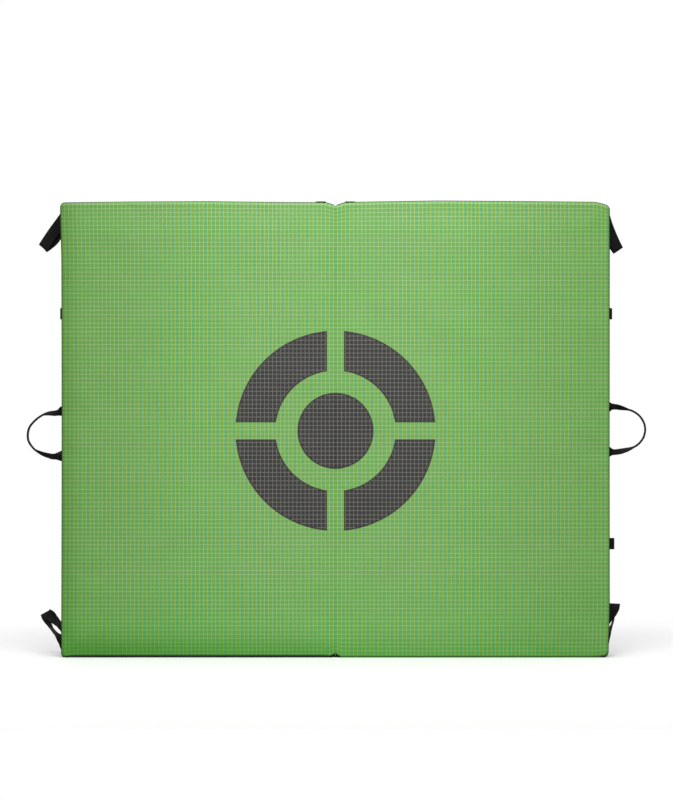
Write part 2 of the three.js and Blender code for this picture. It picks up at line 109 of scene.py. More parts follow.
# ---- Node helpers ----
class Nodes:
    """Small wrapper that adds and links shader nodes in one call."""

    def __init__(self, material):
        self.tree = material.node_tree
        self.shader = self.tree.nodes["Principled BSDF"]

    def add(self, kind, inputs=(), **settings):
        node = self.tree.nodes.new(kind)
        for name, value in settings.items():
            setattr(node, name, value)
        for key, value in dict(inputs).items():
            self.set(node.inputs[key], value)
        return node

    def set(self, socket, value):
        if isinstance(value, bpy.types.NodeSocket):
            self.tree.links.new(value, socket)
        elif value is not None:
            socket.default_value = value

    def math(self, operation, a, b=None, c=None):
        node = self.add("ShaderNodeMath", operation=operation)
        for index, value in enumerate((a, b, c)):
            if value is not None:
                self.set(node.inputs[index], value)
        return node.outputs[0]

    def times(self, a, b):
        return self.math("MULTIPLY", a, b)

    def plus(self, a, b):
        return self.math("ADD", a, b)

    def minus(self, a, b):
        return self.math("SUBTRACT", a, b)

    def sine(self, value, rate):
        return self.math("SINE", self.times(value, rate))

    def place(self):
        return self.add("ShaderNodeTexCoord").outputs["Object"]

    def mix(self, factor, a, b, blend="MIX"):
        node = self.add("ShaderNodeMix", data_type="RGBA", blend_type=blend)
        self.set(node.inputs["Factor"], factor)
        for key, value in (("A", a), ("B", b)):
            socket = next(s for s in node.inputs if s.name == key and s.type == "RGBA")
            self.set(socket, value if isinstance(value, bpy.types.NodeSocket) else (*value, 1))
        return next(s for s in node.outputs if s.type == "RGBA")

    def smooth(self, value, low, high, to_low=0.0, to_high=1.0):
        node = self.add("ShaderNodeMapRange", interpolation_type="SMOOTHSTEP")
        for key, number in (("Value", value), ("From Min", low), ("From Max", high),
                            ("To Min", to_low), ("To Max", to_high)):
            self.set(node.inputs[key], number)
        return node.outputs["Result"]

    def noise(self, vector, scale, detail=2.0, roughness=0.5):
        node = self.add("ShaderNodeTexNoise", {"Vector": vector, "Scale": scale,
                                               "Detail": detail, "Roughness": roughness})
        return node.outputs["Fac"]

    def bump(self, height, distance, strength=1.0, normal=None):
        node = self.add("ShaderNodeBump", {"Height": height, "Distance": distance, "Strength": strength})
        if normal is not None:
            self.set(node.inputs["Normal"], normal)
        return node.outputs["Normal"]

    def finish(self, color, roughness, normal=None, **sockets):
        self.set(self.shader.inputs["Base Color"], color)
        self.set(self.shader.inputs["Roughness"], roughness)
        self.set(self.shader.inputs["Normal"], normal)
        for name, value in sockets.items():
            self.set(self.shader.inputs[name.replace("_", " ")], value)


def new_material(name):
    material = bpy.data.materials.new(name)
    material.use_nodes = True
    return material, Nodes(material)


def cloth_coordinates(n):
    """The cloth's own coordinates in metres: u along, v across."""
    uv = n.add("ShaderNodeUVMap", uv_map="cloth").outputs["UV"]
    parts = n.add("ShaderNodeSeparateXYZ", {"Vector": uv})
    return uv, parts.outputs["X"], parts.outputs["Y"]


def distance_to_line(n, value, pitch):
    """Distance in metres from the nearest of a set of lines pitch apart."""
    cell = n.math("FRACT", n.math("DIVIDE", value, pitch))
    return n.times(n.math("ABSOLUTE", n.minus(cell, 0.5)), pitch)


# ---- Materials ----
GRID_U = 8.815 * MM
GRID_V = 9.25 * MM
THREAD = 1.15 * MM
YARN = 0.55 * MM
CORD = 2.1 * MM  # pitches of the webbing's cords and ribs
RIB = 1.35 * MM


def ripstop():
    material, n = new_material("ripstop")
    uv, u, v = cloth_coordinates(n)
    grid = ((u, GRID_U), (v, GRID_V))
    line_u, line_v = (n.smooth(distance_to_line(n, place, pitch), THREAD * 0.3, THREAD * 0.75, 1.0, 0.0)
                      for place, pitch in grid)
    thread = n.math("MAXIMUM", line_u, line_v)
    crossing = n.times(line_u, line_v)

    # Ground colour: neighbouring columns lean to yellow or to blue-green, and dye varies softly
    column, row = (n.math("FLOOR", n.math("DIVIDE", n.plus(place, pitch / 2), pitch)) for place, pitch in grid)
    flip = n.smooth(n.noise(uv, 5.0, 2.0), 0.40, 0.60)
    stripe = n.math("ABSOLUTE", n.minus(n.math("PINGPONG", column, 1.0), flip))
    checker = n.plus(n.times(stripe, 0.86), n.times(n.math("PINGPONG", n.plus(column, row), 1.0), 0.14))
    patches = n.noise(uv, 3.0, 3.0)
    green = n.mix(checker, (0.108, 0.402, 0.108), (0.182, 0.402, 0.034))
    green = n.mix(n.smooth(patches, 0.35, 0.65, 0.0, 0.25), green, (0.110, 0.368, 0.060))
    pale = n.mix(checker, (0.43, 0.64, 0.50), (0.55, 0.64, 0.20))
    cloth = n.mix(n.times(thread, 0.62), green, pale)
    cloth = n.mix(n.times(crossing, 0.35), cloth, (0.50, 0.66, 0.42))

    # Printed landing target: four arcs and a disc
    height = n.minus(v, MARK_CENTRE)
    radius = n.math("SQRT", n.plus(n.times(u, u), n.times(height, height)))
    ring = n.minus(n.math("ABSOLUTE", n.minus(radius, MARK_RADIUS * 0.80)), MARK_RADIUS * 0.20)
    gap = n.minus(MARK_RADIUS * 0.085, n.math("MINIMUM", n.math("ABSOLUTE", u), n.math("ABSOLUTE", height)))
    disc = n.minus(radius, MARK_RADIUS * 0.38)
    mark = n.math("MINIMUM", n.math("MAXIMUM", ring, gap), disc)
    ink = n.smooth(mark, -0.4 * MM, 0.4 * MM, 1.0, 0.0)
    rim = n.times(ink, n.smooth(mark, -3.4 * MM, -2.2 * MM))
    inked = n.mix(n.times(thread, 0.55), (0.022, 0.021, 0.020), (0.30, 0.30, 0.27))
    inked = n.mix(rim, inked, (0.032, 0.022, 0.016))
    cloth = n.mix(ink, cloth, inked)

    # Painted shade: the sides, the turned left edge and the foot are a little darker and greener, where the cloth
    # turns away from the light
    slanted = n.plus(v, n.times(u, 0.04))
    side = n.smooth(n.math("ABSOLUTE", u), 0.15, 0.65, 0.0, 0.50)
    turned = n.smooth(u, -0.545, -0.600, 0.0, 0.55)
    foot = n.smooth(slanted, 0.055, -0.03, 0.0, 0.6)
    painted_edge_shade = n.math("MINIMUM", n.plus(n.plus(side, turned), foot), 1.0)
    # Three tints of painted shade: the first at the sides, turned left edge and foot; the second a painted loss of
    # pale sheen towards the bottom; the third along the slanted foot
    for amount, tint in ((painted_edge_shade, (0.57, 0.68, 0.38)), (n.smooth(v, 0.21, 0.09), (0.88, 0.99, 0.86)),
                         (n.smooth(slanted, 0.08, -0.02), (0.68, 1.0, 0.60))):
        cloth = n.mix(amount, cloth, tint, "MULTIPLY")

    # Weave: fine yarns, proud rip threads and a slight cockle in each cell
    yarns = n.plus(n.sine(u, math.tau / YARN), n.sine(v, math.tau / YARN))
    normal = n.bump(n.times(yarns, 0.25), 0.00006, 0.6)
    normal = n.bump(thread, 0.00025, 0.5, normal)
    normal = n.bump(n.noise(uv, 140.0, 2.0), 0.0008, 0.35, normal)
    n.finish(cloth, n.smooth(thread, 0.0, 1.0, 0.60, 0.52), normal, Sheen_Weight=0.05,
             Sheen_Roughness=0.5, Specular_IOR_Level=0.55)
    return material


def woven(name, base, light, pitch, bump, roughness=0.8):
    """Plain-woven cloth: a basket of yarns, flecks of wear and soft dye variation."""
    material, n = new_material(name)
    uv, u, v = cloth_coordinates(n)
    basket = n.times(n.sine(u, math.pi / pitch), n.sine(v, math.pi / pitch))
    over = n.smooth(basket, -0.4, 0.4)
    wear = n.noise(uv, 9.0, 5.0, 0.6)
    fleck = n.noise(uv, 900.0, 1.0)
    color = n.mix(n.times(over, 0.5), base, light)
    color = n.mix(n.smooth(wear, 0.5, 0.75, 0.0, 0.35), color, light)
    color = n.mix(n.smooth(fleck, 0.6, 0.8, 0.0, 0.2), color, light)
    normal = n.bump(basket, bump, 0.8)
    n.finish(color, n.smooth(wear, 0.3, 0.7, roughness, roughness - 0.12), normal,
             Sheen_Weight=0.12, Sheen_Roughness=0.6, Specular_IOR_Level=0.35)
    return material


def web():
    """Nylon webbing: cords along the length, and ribs across it that run in a chevron."""
    material, n = new_material("webbing")
    uv, u, v = cloth_coordinates(n)
    zig = n.math("PINGPONG", v, CORD)
    ribs = n.sine(n.plus(u, zig), math.tau / RIB)
    height = n.plus(n.times(ribs, 0.5), n.times(n.sine(v, math.tau / CORD), 0.5))
    wear = n.noise(uv, 60.0, 4.0)
    color = n.mix(n.smooth(height, 0.0, 0.9, 0.0, 0.55), (0.0034, 0.0034, 0.0036), (0.0095, 0.0095, 0.0098))
    color = n.mix(n.smooth(wear, 0.55, 0.8, 0.0, 0.4), color, (0.013, 0.013, 0.013))
    n.finish(color, n.smooth(wear, 0.3, 0.8, 0.74, 0.6), n.bump(height, 0.00018, 0.9),
             Sheen_Weight=0.04, Sheen_Roughness=0.5, Specular_IOR_Level=0.22)
    return material


def foam(name, base, light, scale):
    material, n = new_material(name)
    cells = n.add("ShaderNodeTexVoronoi", {"Vector": n.place(), "Scale": scale}).outputs["Distance"]
    n.finish(n.mix(n.smooth(cells, 0.1, 0.6), base, light), 0.9, n.bump(cells, 0.0006, 0.6))
    return material


def moulded():
    """Black acetal with fine mould texture and rubbed edges."""
    material, n = new_material("acetal")
    place = n.place()
    grain = n.noise(place, 2600.0, 2.0)
    rub = n.noise(place, 120.0, 3.0)
    edge = n.smooth(n.add("ShaderNodeNewGeometry").outputs["Pointiness"], 0.52, 0.60)
    color = n.mix(n.times(edge, 0.4), (0.010, 0.010, 0.011), (0.045, 0.045, 0.047))
    n.finish(color, n.smooth(rub, 0.3, 0.7, 0.36, 0.5), n.bump(grain, 0.00006, 0.5))
    return material


def tumbled_aluminium():
    material, n = new_material("hardware")
    place = n.place()
    pits = n.noise(place, 1500.0, 3.0)
    smear = n.noise(place, 90.0, 3.0)
    color = n.mix(n.smooth(smear, 0.35, 0.7), (0.50, 0.51, 0.53), (0.62, 0.63, 0.64))
    n.finish(color, n.smooth(pits, 0.3, 0.7, 0.30, 0.42), n.bump(pits, 0.00005, 0.5), Metallic=1.0)
    return material


def stitch_thread():
    material, n = new_material("stitching")
    uv, u, v = cloth_coordinates(n)
    twist = n.sine(n.plus(u, v), math.tau / (0.5 * MM))
    color = n.mix(n.smooth(twist, -0.5, 0.5), (0.02, 0.02, 0.021), (0.06, 0.06, 0.062))
    n.finish(color, 0.6, n.bump(twist, 0.00008, 0.7))
    return material


RIPSTOP = ripstop()
NYLON = woven("ground_nylon", (0.0060, 0.0060, 0.0064), (0.0150, 0.0150, 0.0158), 0.85 * MM, 0.00016)
PAD_CLOTH = woven("pad_cloth", (0.010, 0.010, 0.011), (0.026, 0.026, 0.028), 0.6 * MM, 0.00012, 0.85)
BINDING = woven("binding", (0.0045, 0.0045, 0.0048), (0.0115, 0.0115, 0.012), 0.5 * MM, 0.00010, 0.7)
WEBBING = web()
CLOSED_FOAM = foam("closed_foam", (0.055, 0.058, 0.062), (0.085, 0.09, 0.095), 700.0)
OPEN_FOAM = foam("open_foam", (0.62, 0.56, 0.40), (0.80, 0.75, 0.58), 500.0)
ACETAL = moulded()
HARDWARE = tumbled_aluminium()
THREAD_MATERIAL = stitch_thread()


# ---- Mesh helpers ----
def make_object(name, vertices, faces, uvs, material):
    """uvs holds one (u, v) for each corner of each face, in order."""
    mesh = bpy.data.meshes.new(name)
    mesh.from_pydata([tuple(p) for p in vertices], [], faces)
    layer = mesh.uv_layers.new(name="cloth")
    layer.data.foreach_set("uv", np.asarray(uvs, np.float32).ravel())
    mesh.materials.append(material)
    mesh.shade_smooth()
    return placed(name, mesh)


def distances(path):
    """Distance along a path at each of its points."""
    return np.concatenate([[0], np.cumsum(np.linalg.norm(np.diff(path, axis=0), axis=1))])


def unit(vectors):
    return vectors / np.linalg.norm(vectors, axis=1)[:, None]


def surface(name, points, uv, material, closed_rows=False, flip=False):
    """A sheet through a grid of points (rows, columns, 3) with uv (rows, columns, 2)."""
    rows, columns = points.shape[:2]
    faces, uvs = [], []
    for i in range(rows if closed_rows else rows - 1):
        for j in range(columns - 1):
            k = (i + 1) % rows
            corners = [(i, j), (k, j), (k, j + 1), (i, j + 1)]
            if flip:
                corners.reverse()
            faces.append([r * columns + c for r, c in corners])
            uvs += [uv[r if not (closed_rows and r == 0 and i == rows - 1) else rows, c]
                    for r, c in corners]
    return make_object(name, points.reshape(-1, 3), faces, uvs, material)


def loft(name, rings, lengths, material):
    """Joins closed rings of equal size into a capped tube; lengths are distances along it."""
    rings = np.asarray(rings, float)
    count, size = rings.shape[:2]
    around = distances(np.concatenate([rings[count // 2], rings[count // 2][:1]]))
    faces, uvs = [], []
    for i in range(count - 1):
        for j in range(size):
            k = (j + 1) % size
            faces.append([i * size + j, i * size + k, (i + 1) * size + k, (i + 1) * size + j])
            uvs += [(lengths[i], around[j]), (lengths[i], around[j + 1]),
                    (lengths[i + 1], around[j + 1]), (lengths[i + 1], around[j])]
    for i, order in ((0, -1), (count - 1, 1)):
        ring = [i * size + j for j in range(size)][::order]
        faces.append(ring)
        uvs += [(lengths[i], around[j % size]) for j in range(size)][::order]
    return make_object(name, rings.reshape(-1, 3), faces, uvs, material)


def web_section(width, thick, fold=0.0):
    """Cross-section ring of a strip of webbing, folded lengthwise by an angle, as (across, normal)."""
    steps = 18
    s = np.linspace(-width / 2, width / 2, steps + 1)
    bend_radius = thick * 0.75
    bend = max(bend_radius * abs(fold), 1e-6)
    heading = fold * np.clip(-s / bend, -0.5, 0.5) + fold * 0.5
    ds = width / steps
    step = np.stack([np.cos(heading), -np.sin(heading)], 1)
    middle = (step[1:] + step[:-1]) / 2 * ds
    line = np.concatenate([[[0, 0]], np.cumsum(middle, 0)])
    line -= (line.max(0) + line.min(0)) / 2
    across = unit(np.gradient(line, axis=0))
    normal = np.stack([-across[:, 1], across[:, 0]], 1)
    # Round selvedges: the strip thins towards both ends of the line
    edge = np.clip((width / 2 - np.abs(s)) / (thick * 0.8), 0, 1)
    half = thick / 2 * np.sqrt(1 - (1 - edge) ** 2 * 0.85)
    return np.concatenate([line + normal * half[:, None], (line - normal * half[:, None])[::-1]])


def sweep(name, path, across, material, sections=None, width=WEB_WIDTH, thick=WEB):
    """Sweeps webbing along a path; across gives the width's direction at each point."""
    path = np.asarray(path, float)
    across = np.broadcast_to(np.asarray(across, float), path.shape)
    tangent = unit(np.gradient(path, axis=0))
    across = unit(across - (across * tangent).sum(1)[:, None] * tangent)
    normal = np.cross(tangent, across)
    if sections is None:
        sections = [web_section(width, thick)] * len(path)
    rings = [p + np.outer(sec[:, 0], a) + np.outer(sec[:, 1], m)
             for p, a, m, sec in zip(path, across, normal, sections)]
    return loft(name, rings, distances(path), material)


def plane_path(x, points, step=3 * MM):
    """Even steps along a curve in the plane at x; its points are (y, millimetres more, z, millimetres more)."""
    return resample([(x, y + more_y * MM, z + more_z * MM) for y, more_y, z, more_z in points], step)


def strap(name, path, across, nodes=(), ride=None, blend=None, material=WEBBING, **section):
    """Swept webbing that stands for CAD nodes, if any, and rides on a body. Given blend, (from body, to body, start,
    end), the webbing is fixed where it lies, on no body; the bodies and points in blend are not read."""
    tape = sweep(name, path, across, material, **section)
    if nodes:
        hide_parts(*nodes)
    if blend:
        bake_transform(tape)
    else:
        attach(tape, ride)


def resample(points, step):
    """Even steps along a smooth curve through the points."""
    points = np.asarray(points, float)
    padded = np.concatenate([[2 * points[0] - points[1]], points, [2 * points[-1] - points[-2]]])
    curve = []
    for a, b, c, d in zip(padded, padded[1:], padded[2:], padded[3:]):
        before, span, after = (max(np.linalg.norm(q - p), 1e-9) ** 0.5 for p, q in ((a, b), (b, c), (c, d)))
        leave = span * ((b - a) / before - (c - a) / (before + span) + (c - b) / span)
        arrive = span * ((c - b) / span - (d - b) / (span + after) + (d - c) / after)
        for t in np.linspace(0, 1, 12, endpoint=False):
            curve.append((2 * t ** 3 - 3 * t ** 2 + 1) * b + (t ** 3 - 2 * t ** 2 + t) * leave
                         + (3 * t ** 2 - 2 * t ** 3) * c + (t ** 3 - t ** 2) * arrive)
    curve.append(points[-1])
    curve = np.array(curve)
    run = distances(curve)
    even = np.linspace(0, run[-1], max(3, int(run[-1] / step) + 1))
    return np.stack([np.interp(even, run, curve[:, k]) for k in range(3)], 1)


def smoothstep(x, low, high):
    t = np.clip((np.asarray(x, float) - low) / (high - low), 0, 1)
    return t * t * (3 - 2 * t)


def wave(x, z, size, seed):
    """Soft noise from -1 to 1 over the pad's face."""
    return noise.noise(Vector((x / size, z / size, seed)))


# ---- Outline, shared by landing face and covers ----
def graded(low, high, pitch, fine):
    """Coordinates from low to high with finer steps close to both ends."""
    ends = [low + f for f in fine] + [high - f for f in fine]
    middle = np.linspace(low + fine[-1], high - fine[-1], int((high - low) / pitch))
    return np.unique(np.round(np.concatenate([ends, middle]), 7))


FACE_PITCH, COVER_PITCH = 0.010, 0.011  # widest steps of the grids
EDGE_STEPS = [s * MM for s in (0, 0.8, 1.8, 3, 4.6, 7, 10, 14, 19)]
FOLD_STEPS = [s * MM for s in (0, 0.8, 1.6, 2.6, 3.8, 5.5, 8, 11, 15, 19)]


def top_edge(x):
    """Height of the pad's top outline: a slight crown, and the notch over the fold."""
    reach = [-EDGE, -0.45, -0.28, -0.13, 0, 0.08, 0.22, 0.42, EDGE]
    crown = float(np.interp(x, reach, [-2.5, -0.6, 0.2, -1.6, -2.2, -0.6, 1.6, 0.2, -1.5])) * MM
    slumped = 6.5 * MM * smoothstep(x, 0.556, EDGE) ** 1.5
    run, drop = FOLD_TOP
    notch = drop * max(1 - abs(x) / run, 0) ** 1.15
    return HEIGHT + crown - slumped - notch


def base_edge(x):
    """Height of the pad's bottom outline: the notch under the fold and the right corner, which lifts a little."""
    run, drop = FOLD_BASE
    lifted = 2.4 * MM * smoothstep(x, 0.555, EDGE) ** 1.6
    return drop * np.clip(1 - np.abs(x) / run, 0, 1) ** 1.2 + lifted


def raised_base(x):
    """Height of the landing cloth's base edge: it stops short of the floor and shows the black cover."""
    lift = 2.7 * MM * smoothstep(x, 0.02, -0.03) * smoothstep(x, -EDGE, -0.57) + 1.0 * MM
    return base_edge(x) + lift + 0.6 * MM * smoothstep(x, 0.57, EDGE)


def side_edge(z, side):
    """Half width at a height: the ends bow in a little at mid-height."""
    bow = (1.1 if side < 0 else 0.5) * MM * (1 - ((z - HEIGHT / 2) / (HEIGHT / 2)) ** 2)
    slant = 2.2 * MM * smoothstep(z, 0.86, 0.96) if side < 0 else -2.8 * MM * smoothstep(z, 0.12, 0.0)
    return EDGE - bow + slant


def outlined(x, z, base=base_edge):
    """Moves a point of the flat pattern to the pad's outline: notches, crowned top, bowed ends."""
    near_top, near_base = smoothstep(z, HEIGHT - 0.06, HEIGHT), smoothstep(z, 0.05, 0.0)
    z += (top_edge(x) - HEIGHT) * near_top + float(base(x)) * near_base
    return x * (1 - (1 - side_edge(z, math.copysign(1, x)) / EDGE) * abs(x) / EDGE), z


def face_relief(x, z):
    """How far the landing face stands out of its plane: puffed halves, cockles, puckers and the fold's crease."""
    to_edge = min(EDGE - abs(x), z, HEIGHT - z)
    to_fold = abs(x)
    puff = 2.2 * MM * smoothstep(to_edge, 0.0, 0.07) * smoothstep(to_fold, 0.0, 0.05)
    cockle = 0.9 * MM * wave(x, z, 0.085, 3.1) + 0.45 * MM * wave(x, z, 0.034, 7.7)
    cockle *= smoothstep(to_edge, 0.0, 0.03) * smoothstep(to_fold, 0.002, 0.03)
    pucker = 0.55 * MM * wave(x, z, 0.016, 1.3) * smoothstep(to_edge, 0.045, 0.006)
    tuck = 1.6 * MM * smoothstep(z, 0.0, 0.034) * smoothstep(x, 0.02, -0.03)
    tug = 0.0
    for side, height in ((-1, 0.534), (-1, 0.438), (1, 0.545), (1, 0.446)):
        away = math.hypot((side * EDGE - x) / 0.05, (z - height) / 0.016)
        tug -= 1.1 * MM * math.exp(-away * away)
    crease = -1.3 * MM * math.exp(-(x / 0.0022) ** 2)
    return puff + cockle + pucker + tuck + tug * 0.6 + crease


def rolled(to_edge, radius):
    """How far a face has dropped where its edge rolls over."""
    return radius - math.sqrt(max(radius ** 2 - max(radius - to_edge, 0) ** 2, 0))


def rounded(x, z):
    """Square corners of the flat pattern become round ones."""
    cx, cz = EDGE - CORNER, HEIGHT / 2 - CORNER
    qx, qz = (abs(x) - cx) / CORNER, (abs(z - HEIGHT / 2) - cz) / CORNER
    if qx > 0 and qz > 0:
        scale = max(qx, qz) / math.hypot(qx, qz)
        x = math.copysign(cx + qx * CORNER * scale, x)
        z = HEIGHT / 2 + math.copysign(cz + qz * CORNER * scale, z - HEIGHT / 2)
    return x, z


def end_of(value, low, high):
    """-1 at the low end, 1 at the high end, 0 between."""
    return 1 if value >= high - TINY else -1 if value <= low + TINY else 0


def sheet(xs, zs, rim, place):
    """A grid over xs and zs with a turned rim all round. place(x, z, over) gives a point and its cloth
    coordinates; over is 0 on the face and the rim's steps beyond it."""
    turn = len(rim)
    points = np.zeros((len(zs) + 2 * turn, len(xs) + 2 * turn, 3))
    uv = np.zeros(points.shape[:2] + (2,))
    for i, j in np.ndindex(uv.shape[:2]):
        over, spot = 0, []
        for index, values in ((j, xs), (i, zs)):
            inside = min(max(index - turn, 0), len(values) - 1)
            beyond = abs(index - turn - inside)
            over = max(over, rim[beyond - 1] if beyond else 0)
            spot.append(values[inside])
        points[i, j], uv[i, j] = place(*spot, over)
    return points, uv


# ---- Landing face: one cloth over both halves, turned over the edge all round ----
def landing_cloth():
    near_fold = np.array(FOLD_STEPS)
    xs = graded(-EDGE, 0, FACE_PITCH, EDGE_STEPS)
    left = np.unique(np.concatenate([xs[xs < -near_fold[-1]], -near_fold]))
    xs = np.unique(np.round(np.concatenate([left, -left]), 7))
    depth = TURN - ROLL

    def place(x, z, over):
        lift = rolled(min(EDGE - abs(x), z, HEIGHT - z), ROLL)
        y = FRONT + lift + over * depth - face_relief(x, z) * (0 if over else 1)
        px, pz = outlined(*rounded(x, z), raised_base)
        turned = depth * over + lift
        return (px, y, pz), (x + turned * end_of(x, -EDGE, EDGE), z + turned * end_of(z, 0, HEIGHT))

    points, uv = sheet(xs, graded(0, HEIGHT, FACE_PITCH, EDGE_STEPS), (0.35, 0.7, 1.0), place)
    cloth = surface("landing_cloth", points, uv, RIPSTOP, flip=True)
    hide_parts("left_landing_panel", "right_landing_panel")
    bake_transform(cloth)


landing_cloth()


# ---- Shared by every later piece ----
THREAD_SIDES = 6


def clean(obj, distance=1e-6):
    """Merges doubled points and drops faces with no area, which corners leave behind."""
    mesh = bmesh.new()
    mesh.from_mesh(obj.data)
    bmesh.ops.remove_doubles(mesh, verts=mesh.verts, dist=distance)
    bmesh.ops.dissolve_degenerate(mesh, edges=mesh.edges, dist=distance)
    mesh.to_mesh(obj.data)
    mesh.free()


def vectors(obj, key="co"):
    """One vector for each of the mesh's points: its place, or its normal."""
    flat = np.zeros(len(obj.data.vertices) * 3)
    obj.data.vertices.foreach_get(key, flat)
    return flat.reshape(-1, 3)


def settle(obj, pinned, pressure, cap, inward=0.8 * MM, grow=0.0, frames=16, slip=2 * MM):
    """Runs cloth under inner pressure with the stitched points held, then keeps every point close to
    where it was cut: at most cap outwards, inward back and slip sideways."""
    scene = bpy.context.scene
    start, normals = vectors(obj), vectors(obj, "normal")
    group = obj.vertex_groups.new(name="stitched")
    group.add([int(i) for i in np.flatnonzero(pinned)], 1.0, "REPLACE")
    modifier = obj.modifiers.new("cloth", "CLOTH")
    for key, value in dict(quality=5, mass=0.2, tension_stiffness=12, compression_stiffness=12,
                           shear_stiffness=6, bending_stiffness=0.6, vertex_group_mass=group.name,
                           use_pressure=True, uniform_pressure_force=pressure, shrink_min=-grow).items():
        setattr(modifier.settings, key, value)
    modifier.settings.effector_weights.gravity = 0
    modifier.point_cache.frame_start = 1
    modifier.point_cache.frame_end = frames
    for number in range(1, frames + 1):
        scene.frame_set(number)
    moved = vectors(obj.evaluated_get(bpy.context.evaluated_depsgraph_get())) - start
    along = (moved * normals).sum(1)
    held = cap * np.tanh(np.maximum(along, 0) / cap) - inward * np.tanh(np.maximum(-along, 0) / inward)
    sideways = moved - along[:, None] * normals
    reach = np.linalg.norm(sideways, axis=1)
    sideways *= (np.minimum(reach, slip) / np.maximum(reach, 1e-9))[:, None]
    obj.modifiers.remove(modifier)
    obj.vertex_groups.remove(group)
    obj.data.vertices.foreach_set("co", (start + held[:, None] * normals + sideways).ravel())
    obj.data.update()
    scene.frame_set(1)


def dressed(node, material, bevel, segments=2):
    """A piece with the CAD node's shape, rounded edges and cloth coordinates, which stands for it."""
    source = frame["nodes"][node]
    mesh = source.data.copy()
    mesh.name = node + "_detail"
    mesh.materials.clear()
    mesh.materials.append(material)
    layer = mesh.uv_layers.new(name="cloth")
    for polygon in mesh.polygons:
        drop = int(np.argmax(np.abs(polygon.normal)))
        keep = [axis for axis in range(3) if axis != drop]
        for loop in polygon.loop_indices:
            place = mesh.vertices[mesh.loops[loop].vertex_index].co
            layer.data[loop].uv = (place[keep[1]], place[keep[0]])
    obj = placed(node + "_detail", mesh)
    clean(obj, 1e-5)
    modifier = obj.modifiers.new("rounding", "BEVEL")
    for key, value in dict(width=bevel, segments=segments, limit_method="ANGLE",
                           angle_limit=math.radians(32), harden_normals=True).items():
        setattr(modifier, key, value)
    mesh.shade_smooth()
    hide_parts(node)
    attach(obj, BODY_OF[node])


def stitches(name, runs, body, pitch=3.4 * MM, length=2.6 * MM, thick=0.75 * MM):
    """Rows of thread on the ground side: each run is (start, end), its stitches half sunk in the cloth."""
    outward = np.array((0.0, 1.0, 0.0))
    profile = ((-0.5, 0.25), (-0.28, 0.9), (0.28, 0.9), (0.5, 0.25))  # place along a stitch, size there
    vertices, faces, uvs = [], [], []
    for start, end in runs:
        start, end = np.array(start, float), np.array(end, float)
        span = np.linalg.norm(end - start)
        along = (end - start) / span
        across = np.cross(outward, along)
        for index in range(max(1, int(span / pitch))):
            centre = start + along * (index + 0.5) * pitch
            base = len(vertices)
            for station, size in profile:
                for turn in range(THREAD_SIDES):
                    angle = math.tau * turn / THREAD_SIDES
                    vertices.append(centre + along * station * length
                                    + (across * math.cos(angle) + outward * math.sin(angle) * 0.8)
                                    * thick / 2 * size)
            for ring in range(3):
                for turn in range(THREAD_SIDES):
                    a, b = base + ring * THREAD_SIDES + turn, base + ring * THREAD_SIDES + (turn + 1) % THREAD_SIDES
                    faces.append([a, b, b + THREAD_SIDES, a + THREAD_SIDES])
                    uvs += [((ring + i) * length / 3, (turn + j) * thick / 3)
                            for i, j in ((0, 0), (0, 1), (1, 1), (1, 0))]
            for ring, order in ((0, -1), (3, 1)):
                faces.append([base + ring * THREAD_SIDES + turn for turn in range(THREAD_SIDES)][::order])
                uvs += [(0, 0)] * THREAD_SIDES
    obj = make_object(name, vertices, faces, uvs, THREAD_MATERIAL)
    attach(obj, body)
    return obj


def box_stitches(name, body, level, *boxes, cross=True):
    """Rectangles (x0, x1, z0, z1) of thread, each with a cross in it, on a face at a level in Y."""
    runs = []
    for x0, x1, z0, z1 in boxes:
        corner = [(x0, level, z0), (x1, level, z0), (x1, level, z1), (x0, level, z1)]
        pairs = ((0, 1), (1, 2), (2, 3), (3, 0)) + (((0, 2), (1, 3)) if cross else ())
        runs += [(corner[a], corner[b]) for a, b in pairs]
    stitches(name, runs, body)


# ---- Black covers: side walls and ground side of each half in one sewn shell ----
COVER_STEPS = [s * MM for s in (0, 1.2, 2.6, 4.6, 8, 13)]
WALL_STEPS = (0.06, 0.14, 0.24, 0.36, 0.5, 0.64, 0.76, 0.86, 0.94, 1.0)
STITCHED_DOWN = [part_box(node) for node in BODY_OF
                 if node.endswith(("_anchor", "_root", "_zip_tape", "_hinge_webbing", "_yoke"))]


